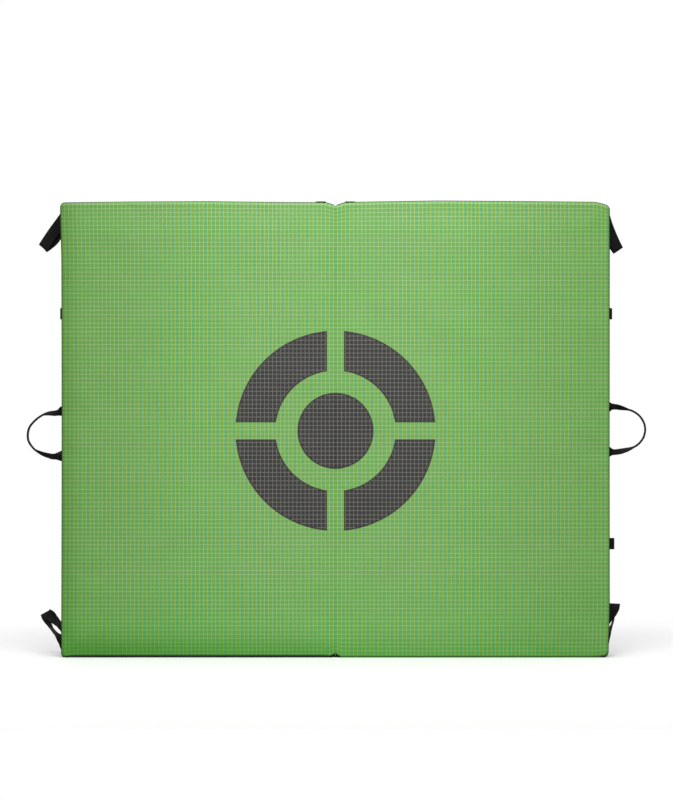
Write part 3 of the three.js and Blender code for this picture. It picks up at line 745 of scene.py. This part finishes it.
def cover(side, name):
    """Ground side first, then the walls turned towards the landing side, as one grid of cloth."""
    depth = BACK - FRONT - TURN - 0.3 * MM
    roll = 2.2 * MM

    def place(x, z, over):
        to_edge = min(EDGE - x, x - FOLD_GAP, z, HEIGHT - z)
        y = BACK - rolled(to_edge, roll) - over * (depth - roll)
        px, pz = rounded(x, z)
        px, pz = outlined(px * side, pz)
        px *= side
        wrinkle = 0.0
        if over:
            # Walls swell a little between their seams
            swell = 1.1 * MM * math.sin(math.pi * over) * (1 + 0.5 * wave(x * side + y, z - y, 0.05, 5.0))
            px += swell if x >= EDGE - TINY else 0
            pz += swell * 0.7 if z >= HEIGHT - TINY else 0
        else:
            wrinkle = 0.5 * MM * wave(x * side, z, 0.11, 11.0) * smoothstep(to_edge, 0, 0.04)
        wall = over * depth
        return ((px * side, y + wrinkle, pz),
                (z + wall * end_of(z, 0, HEIGHT), (x + wall * end_of(x, FOLD_GAP, EDGE)) * side))

    points, uv = sheet(graded(FOLD_GAP, EDGE, COVER_PITCH, COVER_STEPS),
                       graded(0, HEIGHT, COVER_PITCH, COVER_STEPS), WALL_STEPS, place)
    shell = surface(f"{name}_cover", points, uv, NYLON, flip=side < 0)
    clean(shell)
    x, y, z = vectors(shell).T
    pinned = (y < FRONT + TURN + 2 * MM) | (z < 2 * MM) | (np.abs(x) < 1.5 * MM)
    pinned |= ((np.abs(x) > EDGE - 4 * MM) | (z > HEIGHT - 4 * MM)) & (y > BACK - 4 * MM)
    for low, high in STITCHED_DOWN:
        pinned |= (x > low.x) & (x < high.x) & (z > low.z) & (z < high.z) & (y > BACK - 3 * MM)
    settle(shell, pinned, pressure=2.5, cap=2.2 * MM, grow=0.006)
    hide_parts(f"{name}_side_gusset", f"{name}_ground_panel")
    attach(shell, f"{name}_half")


def outline(side, inset=0.0, step=9 * MM):
    """Closed front outline of one half in X and Z, with its round corners and the notches at the fold."""
    inner, edge = FOLD_GAP + inset, EDGE - inset
    radius = CORNER - inset
    points = []
    xs = np.linspace(inner, edge - radius, int((edge - inner) / step))
    zs = np.linspace(radius + inset, HEIGHT - inset - radius, int(HEIGHT / step))
    level = np.unique(np.concatenate([xs, np.linspace(inner, 0.03, 8)]))
    points += [(x, inset) for x in level]
    arc = np.linspace(-math.pi / 2, 0, 6)[1:-1]
    points += [(edge - radius + radius * math.cos(a), inset + radius + radius * math.sin(a)) for a in arc]
    points += [(edge, z) for z in zs]
    points += [(edge - radius - radius * math.sin(a), HEIGHT - inset - radius + radius * math.cos(a)) for a in arc]
    points += [(x, HEIGHT - inset) for x in level[::-1]]
    points += [(inner, z) for z in np.linspace(HEIGHT - inset, inset, 60)[1:-1]]
    return np.array([outlined(x * side, z) for x, z in points]) * (side, 1)


def binding(side, name, seam, y, half, proud):
    """Bound seam that runs round one half: a half-round tape over the seam line."""
    path = outline(side)
    forward = unit(np.roll(path, -1, 0) - np.roll(path, 1, 0))
    outward = np.stack([forward[:, 1], -forward[:, 0]], 1)
    on_fold, on_base = path[:, 0] < 1.2 * MM, path[:, 1] < 1.0 * MM
    rise = np.where(on_fold, 0.1 * MM, np.where(on_base, 0.25 * MM, proud))
    turns = [*np.linspace(0, math.tau, 12, endpoint=False), 0.0]
    points = np.zeros((len(path), len(turns), 3))
    uv = np.zeros(points.shape[:2] + (2,))
    run = distances(path)
    for j, angle in enumerate(turns):
        out = rise * (0.35 + 0.65 * math.cos(angle))
        points[:, j, 0] = (path[:, 0] + outward[:, 0] * out) * side
        points[:, j, 1] = y + half * math.sin(angle)
        points[:, j, 2] = path[:, 1] + outward[:, 1] * out
        uv[:, j, 0] = run
        uv[:, j, 1] = half * angle
    uv = np.concatenate([uv, uv[:1] + [[run[-1] + 0.008, 0]]])
    tape = surface(f"{name}_{seam}", points, uv, BINDING, closed_rows=True, flip=side < 0)
    clean(tape)
    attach(tape, f"{name}_half")


def frame_point(root, along, distance, level=0.0):
    """A point on the ground side: distance along a direction, level above the sewn plane."""
    return root[0] + along[0] * distance, SEWN + level, root[1] + along[1] * distance


# ---- Corner loops ----
# Each loop: side, up or down, its swing's place (x, z, lean), then stations of the webbing's middle as
# x, z, level over the sewn plane, lean and any twist in degrees. The fold is the widest reach.
LOOPS = {
    "left_upper": (-1, -1, (594, 962.5, 34.5), (
        (582.5, 979.5, 0.95, 34), (594, 962.5, 0.95, 34), (606, 946, 1.3, 34), (619, 928.5, 2.0, 34),
        (633, 907.5, 1.4, 35), (640.5, 896, 2.2, 44), (642.5, 893, 3.9, 47), (640.5, 895, 5.6, 47),
        (632, 901, 6.0, 47), (618, 914, 6.6, 41), (609, 932, 5.8, 31), (600.5, 950, 4.0, 31),
        (590, 968.5, 2.8, 34), (582.5, 979.5, 2.8, 34))),
    "right_upper": (1, -1, (591, 960, 22.5), (
        (585.5, 978, 0.95, 17), (591.5, 960, 0.95, 18), (596.5, 944, 1.3, 19), (602.5, 928.5, 2.0, 22),
        (612, 906, 1.4, 25), (619.8, 890.5, 2.2, 33), (621.3, 888, 3.9, 36), (619.6, 890, 5.6, 36),
        (614, 898, 6.0, 34), (605, 914, 6.6, 30), (597, 933, 5.8, 24), (592.5, 950, 4.0, 20),
        (588, 968, 2.8, 18), (585, 978, 2.8, 17))),
    "left_lower": (-1, 1, (587, 34, 41), (
        (571, 35, 0.95, 52), (579.5, 42.5, 0.95, 52), (589, 51, 3.0, 52, -26), (598, 58.5, 5.0, 50, -50),
        (607.5, 67, 4.5, 46, -61), (617.5, 77, 3.0, 40, -46), (627, 85.5, 1.8, 34, -14), (635.6, 90.6, 2.2, 29),
        (637.2, 92.4, 3.9, 29), (635.8, 90, 5.6, 29), (633.3, 80, 6.0, 24, -32), (629.6, 68, 5.5, 28, -68),
        (622.6, 56, 5.0, 36, -80), (613.5, 45, 5.0, 35, -76), (604.5, 34.5, 6.0, 30, -50), (597, 26.5, 6.0, 26, -24),
        (592, 17, 3.4, 26), (587, 11.5, 2.8, 26))),
    "right_lower": (1, 1, (587, 34, 18), (
        (563, 33, 0.95, 38), (572, 44.5, 0.95, 38), (580, 58, 1.2, 38), (587.4, 68.5, 1.4, 38),
        (594.2, 77.6, 1.6, 36), (600.6, 85.8, 1.8, 33), (607.4, 95, 1.9, 26), (611.8, 105, 2.0, 12),
        (612.8, 112, 3.9, 2), (612.2, 106, 5.6, 6), (611.2, 95, 6.2, 20, -42), (610.6, 83, 6.4, 16, -80),
        (609.6, 72, 6.3, 15, -88), (606.4, 63, 6.2, 20, -84), (602.4, 54, 6.0, 22, -76), (597.6, 44, 5.5, 20, -60),
        (592.5, 34, 5.0, 18, -40), (587, 22, 3.4, 16), (584.5, 13, 2.8, 15))),
}


def corner_loop(name, side, up, swing, stations):
    path, across = [], []
    for x, z, level, lean, *twist in stations:
        lean, twist = math.radians(lean), math.radians(twist[0] if twist else 0)
        path.append((side * x * MM, SEWN + level * MM, z * MM))
        flat = math.cos(twist)
        across.append((side * math.cos(lean) * flat, math.sin(twist), -up * math.sin(lean) * flat))
    even = resample(path, 1.8 * MM)
    stops = [int(np.argmin(np.linalg.norm(even - p, axis=1))) for p in np.array(path)]
    across = np.array(across)
    turned = np.stack([np.interp(np.arange(len(even)), stops, across[:, k]) for k in range(3)], 1)
    x, z, lean = swing
    along = (side * math.sin(math.radians(lean)), up * math.cos(math.radians(lean)))
    root = (side * x * MM, z * MM)
    body = f"{name.split('_')[0]}_half"
    strap(f"{name}_loop_webbing", even, turned, (f"{name}_loop", f"{name}_loop_anchor"),
          blend=(body, f"{name}_loop", frame_point(root, along, 0.0), frame_point(root, along, 6 * MM)))
    # Bar tack over both layers where they are sewn down
    x, z, level, lean = stations[0]
    lean = math.radians(lean)
    along = np.array((side * math.sin(lean), 0, up * math.cos(lean)))
    reach = np.array((side * math.cos(lean), 0, -up * math.sin(lean))) * BOX_REACH
    start = np.array((side * x * MM, SEWN + 3.75 * MM, z * MM))
    rows = [(start + along * d * MM - reach, start + along * d * MM + reach) for d in (3, 5, 7)]
    stitches(f"{name}_loop_stitching", rows, body, pitch=2.2 * MM, length=2.0 * MM)


# ---- Side handles ----
HANDLE_WEB = 1.25 * MM  # thickness of one layer
EDGE_ON = 88  # degrees that the folded webbing turns
# The grip's middle line from the upper leg to the lower, as x and z, and where it turns edge-on: run from
# each wall at which it starts to turn and has turned. Last, the lengths over which the two legs narrow.
HANDLES = {
    "left": (-1, ((600.5, 534), (610.3, 530.8), (633.5, 528.5), (647.5, 523.7), (662, 512.3), (672, 499.5),
                  (675.6, 485.7), (674.4, 470.5), (664, 454.5), (647.3, 444), (628.5, 437.5), (615.3, 436),
                  (600.5, 436.5)), (6, 60), (5, 86), (8, 14)),
    "right": (1, ((600.5, 544.8), (612.3, 545), (633.1, 541.8), (650.7, 536.5), (667.1, 526), (677.9, 510),
                  (680.9, 494.5), (677.6, 478.3), (668.9, 465.4), (658.4, 456.9), (645.6, 451), (626.7, 446.6),
                  (612.9, 445.3), (600.5, 445.5)), (8, 60), (16, 72), (8, 9)),
}


def handle(name):
    """Flat tabs at the seam, then webbing folded lengthwise that turns edge-on round the grip."""
    side, line, first_turn, last_turn, tapers = HANDLES[name]
    level = SEWN + WEB / 2
    line = [(x * MM, level, z * MM) for x, z in line]
    top, base = line[0][2], line[-1][2]
    flat = 26 * MM  # sewn part at each end
    inside = (EDGE - flat, EDGE - 12 * MM, EDGE)
    curve = [(x, level, top) for x in inside] + line + [(x, level, base) for x in inside[::-1]]
    path = resample(curve, 2.0 * MM)
    run = distances(path)
    back = run[-1] - run
    # The strap's width falls evenly from the wall until one half lies over the other
    taper = np.minimum((run - flat - 5 * MM) / (tapers[0] * MM), (back - flat - 5 * MM) / (tapers[1] * MM))
    fold = np.arccos(1 - np.clip(taper, 0, 1.98))
    twist = (smoothstep(run - flat, first_turn[0] * MM, first_turn[1] * MM)
             * smoothstep(back - flat, last_turn[0] * MM, last_turn[1] * MM))
    path[:, 0] *= side
    flat_across = np.cross((0.0, 1.0, 0.0), unit(np.gradient(path, axis=0)))
    turn = (twist * math.radians(EDGE_ON))[:, None]
    across = flat_across * np.cos(turn) + np.array((0, 1.0, 0)) * np.sin(turn)
    middle = (top + base) / 2
    strap(f"{name}_handle_webbing", path, across, (f"{name}_handle",),
          sections=[web_section(WEB_WIDTH, HANDLE_WEB, fold=angle) for angle in fold],
          blend=(f"{name}_half", f"{name}_handle", (side * (EDGE + 2.5 * MM), level, middle),
                 (side * (EDGE + 8 * MM), level, middle)))
    dressed(f"{name}_handle_anchor", WEBBING, 0.5 * MM)
    low, high = sorted((side * (EDGE - 25 * MM), side * (EDGE - 6 * MM)))
    box_stitches(f"{name}_handle_stitching", f"{name}_half", THREAD_LEVEL,
                 *((low, high, z - BOX_REACH, z + BOX_REACH) for z in (top, base)))


# ---- Closures ----
def closure(name, height):
    """Strap sewn in the right end's seam and folded back over the ground side, with adjuster and hook."""
    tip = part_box(f"{name}_strap_root")[1].x
    hinge = tip + 0.5 * MM
    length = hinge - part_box(f"{name}_strap")[0].x
    pivot = hinge - length - 0.5 * MM

    def spot(x, level):
        return x, SEWN + level * MM, height

    points = ((EDGE - 0.028, 0.95), (tip - 0.012, 0.95), (tip - 0.0022, 0.95), (tip - 0.0002, 1.3),
              (tip + 0.0004, 2.1), (tip - 0.0002, 2.9), (tip - 0.0022, 3.3), (tip - 0.02, 3.35),
              (hinge - length * 0.5, 3.3), (hinge - length, 3.3))
    strap(f"{name}_strap_webbing", resample([spot(*p) for p in points], 1.6 * MM), (0, 0, 1),
          (f"{name}_strap", f"{name}_strap_root"),
          blend=("right_half", f"{name}_strap", spot(tip, 1.86), spot(tip, 2.4)))
    # The strap's end splits round the hook's bar
    wrap = ((5, 3.5), (2, 3.5), (-0.8, 3.6), (-3.2, 5.0), (-5.8, 5.6), (-8.0, 5.1), (-8.4, 3.4), (-8.0, 1.6),
            (-5.8, 1.1), (-3.2, 1.7), (-0.8, 3.0), (2, 3.1), (5, 3.1))
    strap(f"{name}_hook_eye", resample([spot(pivot + x * MM, y) for x, y in wrap], 0.7 * MM), (0, 0, 1),
          thick=0.7 * MM, width=WEB_WIDTH - 0.8 * MM,
          blend=(f"{name}_strap", f"{name}_hook", spot(pivot + 0.4 * MM, 3.3), spot(pivot - 2.6 * MM, 3.3)))
    box_stitches(f"{name}_strap_stitching", f"{name}_strap", SEWN + 4.25 * MM,
                 (pivot + 4 * MM, pivot + 24 * MM, height - BOX_REACH, height + BOX_REACH))
    dressed(f"{name}_adjuster", ACETAL, 0.5 * MM)
    dressed(f"{name}_hook", HARDWARE, 0.6 * MM, 3)


def receiver(name, height):
    """Loop of webbing sewn to the left end, which the closure's hook takes hold of."""
    root = (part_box(f"{name}_receiver_anchor")[0].x, height)
    tip = (root[0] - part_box(f"{name}_receiver")[0].x) / MM
    along = (-1, 0)
    legs = ((-26, 0.95), (-12, 0.95), (0, 0.95), (tip * 0.4, 1.3), (tip - 5, 1.0), (tip - 1.1, 1.8),
            (tip - 0.9, 3.6), (tip - 5, 5.0), (tip * 0.5, 5.3), (4, 3.8), (-3, 2.8), (-12, 2.8), (-26, 2.8))
    path = resample([frame_point(root, along, d * MM, level * MM) for d, level in legs], 1.6 * MM)
    strap(f"{name}_receiver_webbing", path, (0, 0, 1), (f"{name}_receiver", f"{name}_receiver_anchor"),
          blend=("left_half", f"{name}_receiver", frame_point(root, along, 0), frame_point(root, along, 6 * MM)))
    box_stitches(f"{name}_receiver_stitching", "left_half", SEWN + 3.75 * MM,
                 (root[0] + 4 * MM, root[0] + 23 * MM, height - BOX_REACH, height + BOX_REACH))


# ---- Webbing beside the fold ----
def hinge_webbing(name):
    low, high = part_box(f"{name}_hinge_webbing")
    x = (low.x + high.x) / 2
    face = SEWN + WEB / 2
    points = ((face, 0, low.z, 0), (face, 0, 0.25, 0), (face, 0, 0.5, 0), (face, 0, 0.75, 0),
              (face, 0, HEIGHT, -6), (SEWN, -0.3, HEIGHT, -1.6), (SEWN, -3, HEIGHT, 0.4), (SEWN, -20, HEIGHT, 0.6),
              (FRONT, 30, HEIGHT, 0.6), (FRONT + TURN, 2, HEIGHT, 0.4), (FRONT + TURN, -1.2, HEIGHT, -0.2))
    strap(f"{name}_fold_webbing", plane_path(x, points, 4 * MM), (1, 0, 0), (f"{name}_hinge_webbing",),
          ride=f"{name}_half", width=high.x - low.x)
    rows = [[(x + s * 8.5 * MM, SEWN + WEB + 0.05 * MM, z) for z in (low.z + 3 * MM, HEIGHT - 8 * MM)]
            for s in (-1, 1)]
    stitches(f"{name}_fold_stitching", rows, f"{name}_half")


# ---- Zips ----
def zip_line(name):
    low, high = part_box(f"{name}_zip_tape")
    height = (low.z + high.z) / 2
    body = f"{name}_half"
    path = [(x, SEWN + 0.4 * MM, height) for x in np.linspace(low.x, high.x, 60)]
    strap(f"{name}_zip_cloth", path, (0, 0, 1), (f"{name}_zip_tape",), ride=body, material=BINDING,
          width=high.z - low.z, thick=0.8 * MM)
    rows = [[(x, SEWN + 0.85 * MM, height + s * 9.5 * MM) for x in (low.x + 2 * MM, high.x - 2 * MM)]
            for s in (-1, 1)]
    stitches(f"{name}_zip_stitching", rows, body)
    coil = [[(x, SEWN + 1.5 * MM, height + s * 2.6 * MM) for s in (-1, 1)]
            for x in np.arange(low.x + 4 * MM, high.x - 4 * MM, 1.9 * MM)]
    teeth = stitches(f"{name}_zip_coil", coil, body, pitch=5.2 * MM, length=5.6 * MM, thick=1.5 * MM)
    teeth.data.materials[0] = ACETAL
    dressed(f"{name}_zip_slider", HARDWARE, 0.5 * MM)


# ---- Harness ----
PAD_AROUND = 44  # points round the shoulder pad


def shoulder(name):
    pad_low, pad_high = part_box(f"{name}_shoulder_pad")
    tail_low, tail_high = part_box(f"{name}_shoulder_tail")
    lock_low, lock_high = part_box(f"{name}_ladder_lock")
    body = f"{name}_shoulder_strap"
    x = (pad_low.x + pad_high.x) / 2
    hinge_z = tail_low.z - 0.5 * MM
    length = pad_high.z - pad_low.z
    half_thick, half_wide, bow = 5.5 * MM, 30.5 * MM, 16.5 * MM

    def spine(z):
        t = np.clip((pad_high.z - z) / length, 0, 1)
        return pad_low.y + half_thick + 0.4 * MM + bow * 4 * t * (1 - t) * 0.97 + 2.2 * MM * t

    # Pad: closed form, seams held at its edges and ends, filled by cloth simulation
    zs = np.linspace(pad_high.z, pad_low.z, 62)
    rings = []
    for z in zs:
        ending = min(pad_high.z - z, z - pad_low.z)
        narrow = 1 - 0.16 * (1 - smoothstep(ending, 0, 0.03))
        thin = 0.30 + 0.70 * smoothstep(ending, -0.002, 0.02)
        turns = [(math.cos(a), math.sin(a)) for a in np.arange(PAD_AROUND) * math.tau / PAD_AROUND]
        rings.append([(x + half_wide * narrow * math.copysign(abs(c) ** 0.45, c),
                       spine(z) + half_thick * 0.86 * thin * math.copysign(abs(s) ** 0.6, s), z)
                      for c, s in turns])
    pad = loft(f"{name}_shoulder_cushion", rings, pad_high.z - zs, PAD_CLOTH)
    place = vectors(pad)
    off_middle = np.abs(place[:, 0] - x)
    pinned = np.abs(off_middle - half_wide) < 1.6 * MM
    pinned |= (place[:, 2] > pad_high.z - 5 * MM) | (place[:, 2] < pad_low.z + 5 * MM)
    pinned |= (np.abs(off_middle - 10 * MM) < 2.2 * MM) & (place[:, 1] > spine(place[:, 2]))
    settle(pad, pinned, pressure=5, cap=4.5 * MM, inward=2 * MM, grow=0.01)
    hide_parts(f"{name}_shoulder_pad")
    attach(pad, body)
    for edge, letter in ((-1, "a"), (1, "b")):
        path = [(x + edge * 31 * MM, spine(z), z) for z in np.linspace(pad_high.z - 3 * MM, pad_low.z + 3 * MM, 80)]
        strap(f"{name}_shoulder_binding_{letter}", path, (0, 1, 0), ride=body, material=BINDING,
              width=6.5 * MM, thick=2.4 * MM)

    # Webbing from the yoke over the pad's outer face to the ladder lock
    level = tail_low.y + WEB / 2
    top, foot = lock_high.z, lock_low.z
    bar = (lock_low.y + lock_high.y) / 2
    points = [(level, 0, tail_high.z, 0), (level, 0, tail_high.z, -20), (level, 0, hinge_z, 10),
              (level, 1, hinge_z, 3)]
    points += [(spine(z) + half_thick * (1.05 if 0.02 < pad_high.z - z < length - 0.02 else 0.9), 0.7, z, 0)
               for z in np.linspace(pad_high.z - 8 * MM, pad_low.z + 6 * MM, 16)]
    points += [(bar, 3.6, top, 1), (bar, 2.6, top, -4), (bar, 0, top, -5.6), (bar, -3.0, top, -3),
               (bar, -2.4, top, 5)]
    strap(f"{name}_shoulder_webbing", plane_path(x, points), (1, 0, 0), (f"{name}_shoulder_tail",),
          thick=1.5 * MM, blend=("left_half", body, (x, level, hinge_z + 3 * MM), (x, level, hinge_z - 3 * MM)))
    sides = (x - BOX_REACH, x + BOX_REACH)
    box_stitches(f"{name}_tail_stitching", "left_half", level + 0.8 * MM,
                 (*sides, hinge_z + 8 * MM, tail_high.z - 4 * MM))
    dressed(f"{name}_ladder_lock", ACETAL, 0.7 * MM, 3)

    # Lower webbing from its anchor to the ladder lock, and its loose tail
    anchor_low, anchor_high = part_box(f"{name}_lower_anchor")
    web_low, web_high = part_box(f"{name}_lower_webbing")
    level = web_low.y + WEB / 2
    hinge_z = anchor_high.z
    points = ((LAID, 0, anchor_low.z, 4), (LAID, 0, hinge_z, -8), (level, 0, hinge_z, 6),
              (level, 0, (hinge_z + web_high.z) / 2, 0), (level, 0, web_high.z, -20), (level, 0, web_high.z, 0))
    strap(f"{name}_lower_strap", plane_path(x, points), (1, 0, 0),
          (f"{name}_lower_webbing", f"{name}_lower_anchor"),
          blend=("left_half", f"{name}_lower_webbing", (x, level, hinge_z - 1 * MM), (x, level, hinge_z + 5 * MM)))
    box_stitches(f"{name}_anchor_stitching", "left_half", THREAD_LEVEL,
                 (*sides, anchor_low.z + 6 * MM, anchor_high.z - 8 * MM))
    out = lock_high.y + 1.6 * MM
    tail = ((bar, -0.5, top, -17), (bar, 2.5, top, -13.5), (out, 0.6, top, -16), (out, 0, top, -26),
            (out, 2, foot, -14), (out, 3.5, foot, -50), (out, 1.5, foot, -92), (out, 2.5, foot, -104))
    drift = 3 * MM if name == "outer" else -4 * MM
    path = [(x + drift * max(0, foot - z - down * MM) / 0.1, y + more * MM, z + down * MM)
            for y, more, z, down in tail]
    strap(f"{name}_loose_tail", resample(path, 2.5 * MM), (1, 0, 0), ride=body)


def belt(name, buckle):
    low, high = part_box(f"{name}_belt")
    anchor_low, anchor_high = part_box(f"{name}_belt_anchor")
    buckle_low, buckle_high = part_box(buckle)
    x = (low.x + high.x) / 2
    sides = (x - 15 * MM, x + 15 * MM)
    level = low.y + WEB / 2
    hinge_z = anchor_low.z
    bar = (buckle_low.y + buckle_high.y) / 2
    points = ((LAID, 0, anchor_high.z, 0), (LAID, 0, hinge_z, 10), (level, 0.2, hinge_z, -6),
              (level, 0.6, hinge_z, -60), (level, 1.2, hinge_z, -120), (level, 0.8, low.z, 8), (level, 1.0, low.z, 1))
    strap(f"{name}_belt_webbing", plane_path(x, points), (1, 0, 0), (f"{name}_belt", f"{name}_belt_anchor"),
          width=high.x - low.x,
          blend=("left_half", f"{name}_belt", (x, level, hinge_z + 1 * MM), (x, level, hinge_z - 6 * MM)))
    points = ((level, 2.6, low.z, 46), (level, 2.8, low.z, 24), (level, 3.2, low.z, 6), (bar, 1.0, low.z, 0.6))
    strap(f"{name}_belt_fold", plane_path(x, points), (1, 0, 0), ride=f"{name}_belt",
          width=high.x - low.x - 0.6 * MM, thick=1.5 * MM)
    box_stitches(f"{name}_belt_stitching", "left_half", THREAD_LEVEL,
                 (*sides, anchor_low.z + 8 * MM, anchor_high.z - 5 * MM))
    box_stitches(f"{name}_belt_fold_stitching", f"{name}_belt", level + 3.55 * MM,
                 (*sides, low.z + 22 * MM, low.z + 42 * MM), cross=False)
    dressed(buckle, ACETAL, 0.9 * MM, 3)


def yoke():
    low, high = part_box("harness_yoke")
    dressed("harness_yoke", NYLON, 0.5 * MM)
    inset, cut_x, cut_z = 6 * MM, 44 * MM, 36 * MM
    shape = ((low.x + inset, low.z + inset), (high.x - inset, low.z + inset), (high.x - inset, low.z + cut_z),
             (high.x - cut_x, high.z - inset), (low.x + cut_x, high.z - inset), (low.x + inset, low.z + cut_z))
    corners = [(x, high.y + 0.05 * MM, z) for x, z in shape]
    stitches("yoke_stitching", list(zip(corners, corners[1:] + corners[:1])), "left_half")


def foams(side, name):
    """Foam blocks cut to the cover's outline, so that a corner that slumps takes its filling along."""
    cut = outline(side, 2.6 * MM) * (side, 1)
    for layer, material, slot in (("top", CLOSED_FOAM, "closed_foam"), ("core", OPEN_FOAM, "open_foam"),
                                  ("base", CLOSED_FOAM, "closed_foam")):
        node = f"{name}_{layer}_foam"
        low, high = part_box(node)
        rings = [[(x, y, z) for x, z in cut] for y in ((low.y, high.y) if side > 0 else (high.y, low.y))]
        block = loft(f"{node}_block", rings, [0, high.y - low.y], material)
        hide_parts(node)
        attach(block, f"{name}_half")


# ---- Studio ----
FLOOR = ((-2.5, -1.8), (2.5, -1.8), (2.5, 1.4), (-2.5, 1.4))


def lamp(name, kind, location, rotation, **settings):
    data = bpy.data.lights.new(name, kind)
    for key, value in settings.items():
        setattr(data, key, value)
    return placed(name, data, location, rotation)


def softbox(name, place, aim, size, power):
    turn = (Vector(aim) - Vector(place)).to_track_quat("-Z", "Y").to_euler()
    lamp(name, "AREA", place, turn, shape="RECTANGLE", size=size[0], size_y=size[1],
         energy=power).visible_camera = False


def studio():
    softbox("key", (0.12, -1.25, 1.55), (0.08, 0, 0.85), (0.7, 0.5), 6.2)
    softbox("rear", (0.2, 1.7, 2.6), (0, 0, 0), (3.0, 1.5), 3)
    softbox("low_rear", (-0.3, 3.0, 0.7), (0, 0, 0.5), (2.4, 1.2), 10)
    for name, energy, spread, lean, turn in (("left_window", 0.85, 26, 50, -14),
                                             ("right_window", 0.85, 26, 50, 14),
                                             ("skylight", 1.45, 80, 12, 0)):
        lamp(name, "SUN", (0, 0, 0), (math.radians(lean), 0, math.radians(turn)),
             energy=energy, angle=math.radians(spread))
    world = bpy.data.worlds.new("studio")
    bpy.context.scene.world = world
    world.use_nodes = True
    nodes, links = world.node_tree.nodes, world.node_tree.links
    seen = nodes["Background"]
    fill = nodes.new("ShaderNodeBackground")
    for background, strength in ((seen, 1.0), (fill, 0.30)):
        background.inputs["Color"].default_value = (1, 1, 1, 1)
        background.inputs["Strength"].default_value = strength
    path = nodes.new("ShaderNodeLightPath")
    mix = nodes.new("ShaderNodeMixShader")
    links.new(path.outputs["Is Camera Ray"], mix.inputs[0])
    links.new(fill.outputs[0], mix.inputs[1])
    links.new(seen.outputs[0], mix.inputs[2])
    links.new(mix.outputs[0], nodes["World Output"].inputs["Surface"])
    bpy.context.scene.view_settings.view_transform = "Standard"

    mesh = bpy.data.meshes.new("floor")
    mesh.from_pydata([(x, y, 0) for x, y in FLOOR], [], [[0, 1, 2, 3]])
    floor = placed("floor", mesh)
    material, n = new_material("floor")
    n.finish(n.mix(n.noise(n.place(), 2.0), (0.905, 0.905, 0.905), (0.92, 0.92, 0.92)), 0.7)
    mesh.materials.append(material)
    floor.visible_diffuse = floor.visible_glossy = False  # or it would throw white light up on the pad's foot


# ---- Assembly ----
for side, name in SIDE_NAMES.items():
    cover(side, name)
    binding(side, name, "landing_seam", FRONT + TURN + 1.9 * MM, 2.1 * MM, 1.6 * MM)
    binding(side, name, "ground_seam", BACK - 3.6 * MM, 3.4 * MM, 1.1 * MM)
    foams(side, name)
    hinge_webbing(name)
    zip_line(name)
    handle(name)
for name, loop in LOOPS.items():
    corner_loop(name, *loop)
for name, height in CLOSURES.items():
    closure(name, height)
    receiver(name, height)
yoke()
for name, buckle in (("outer", "buckle_socket_half"), ("inner", "buckle_tongue_half")):
    shoulder(name)
    belt(name, buckle)
studio()
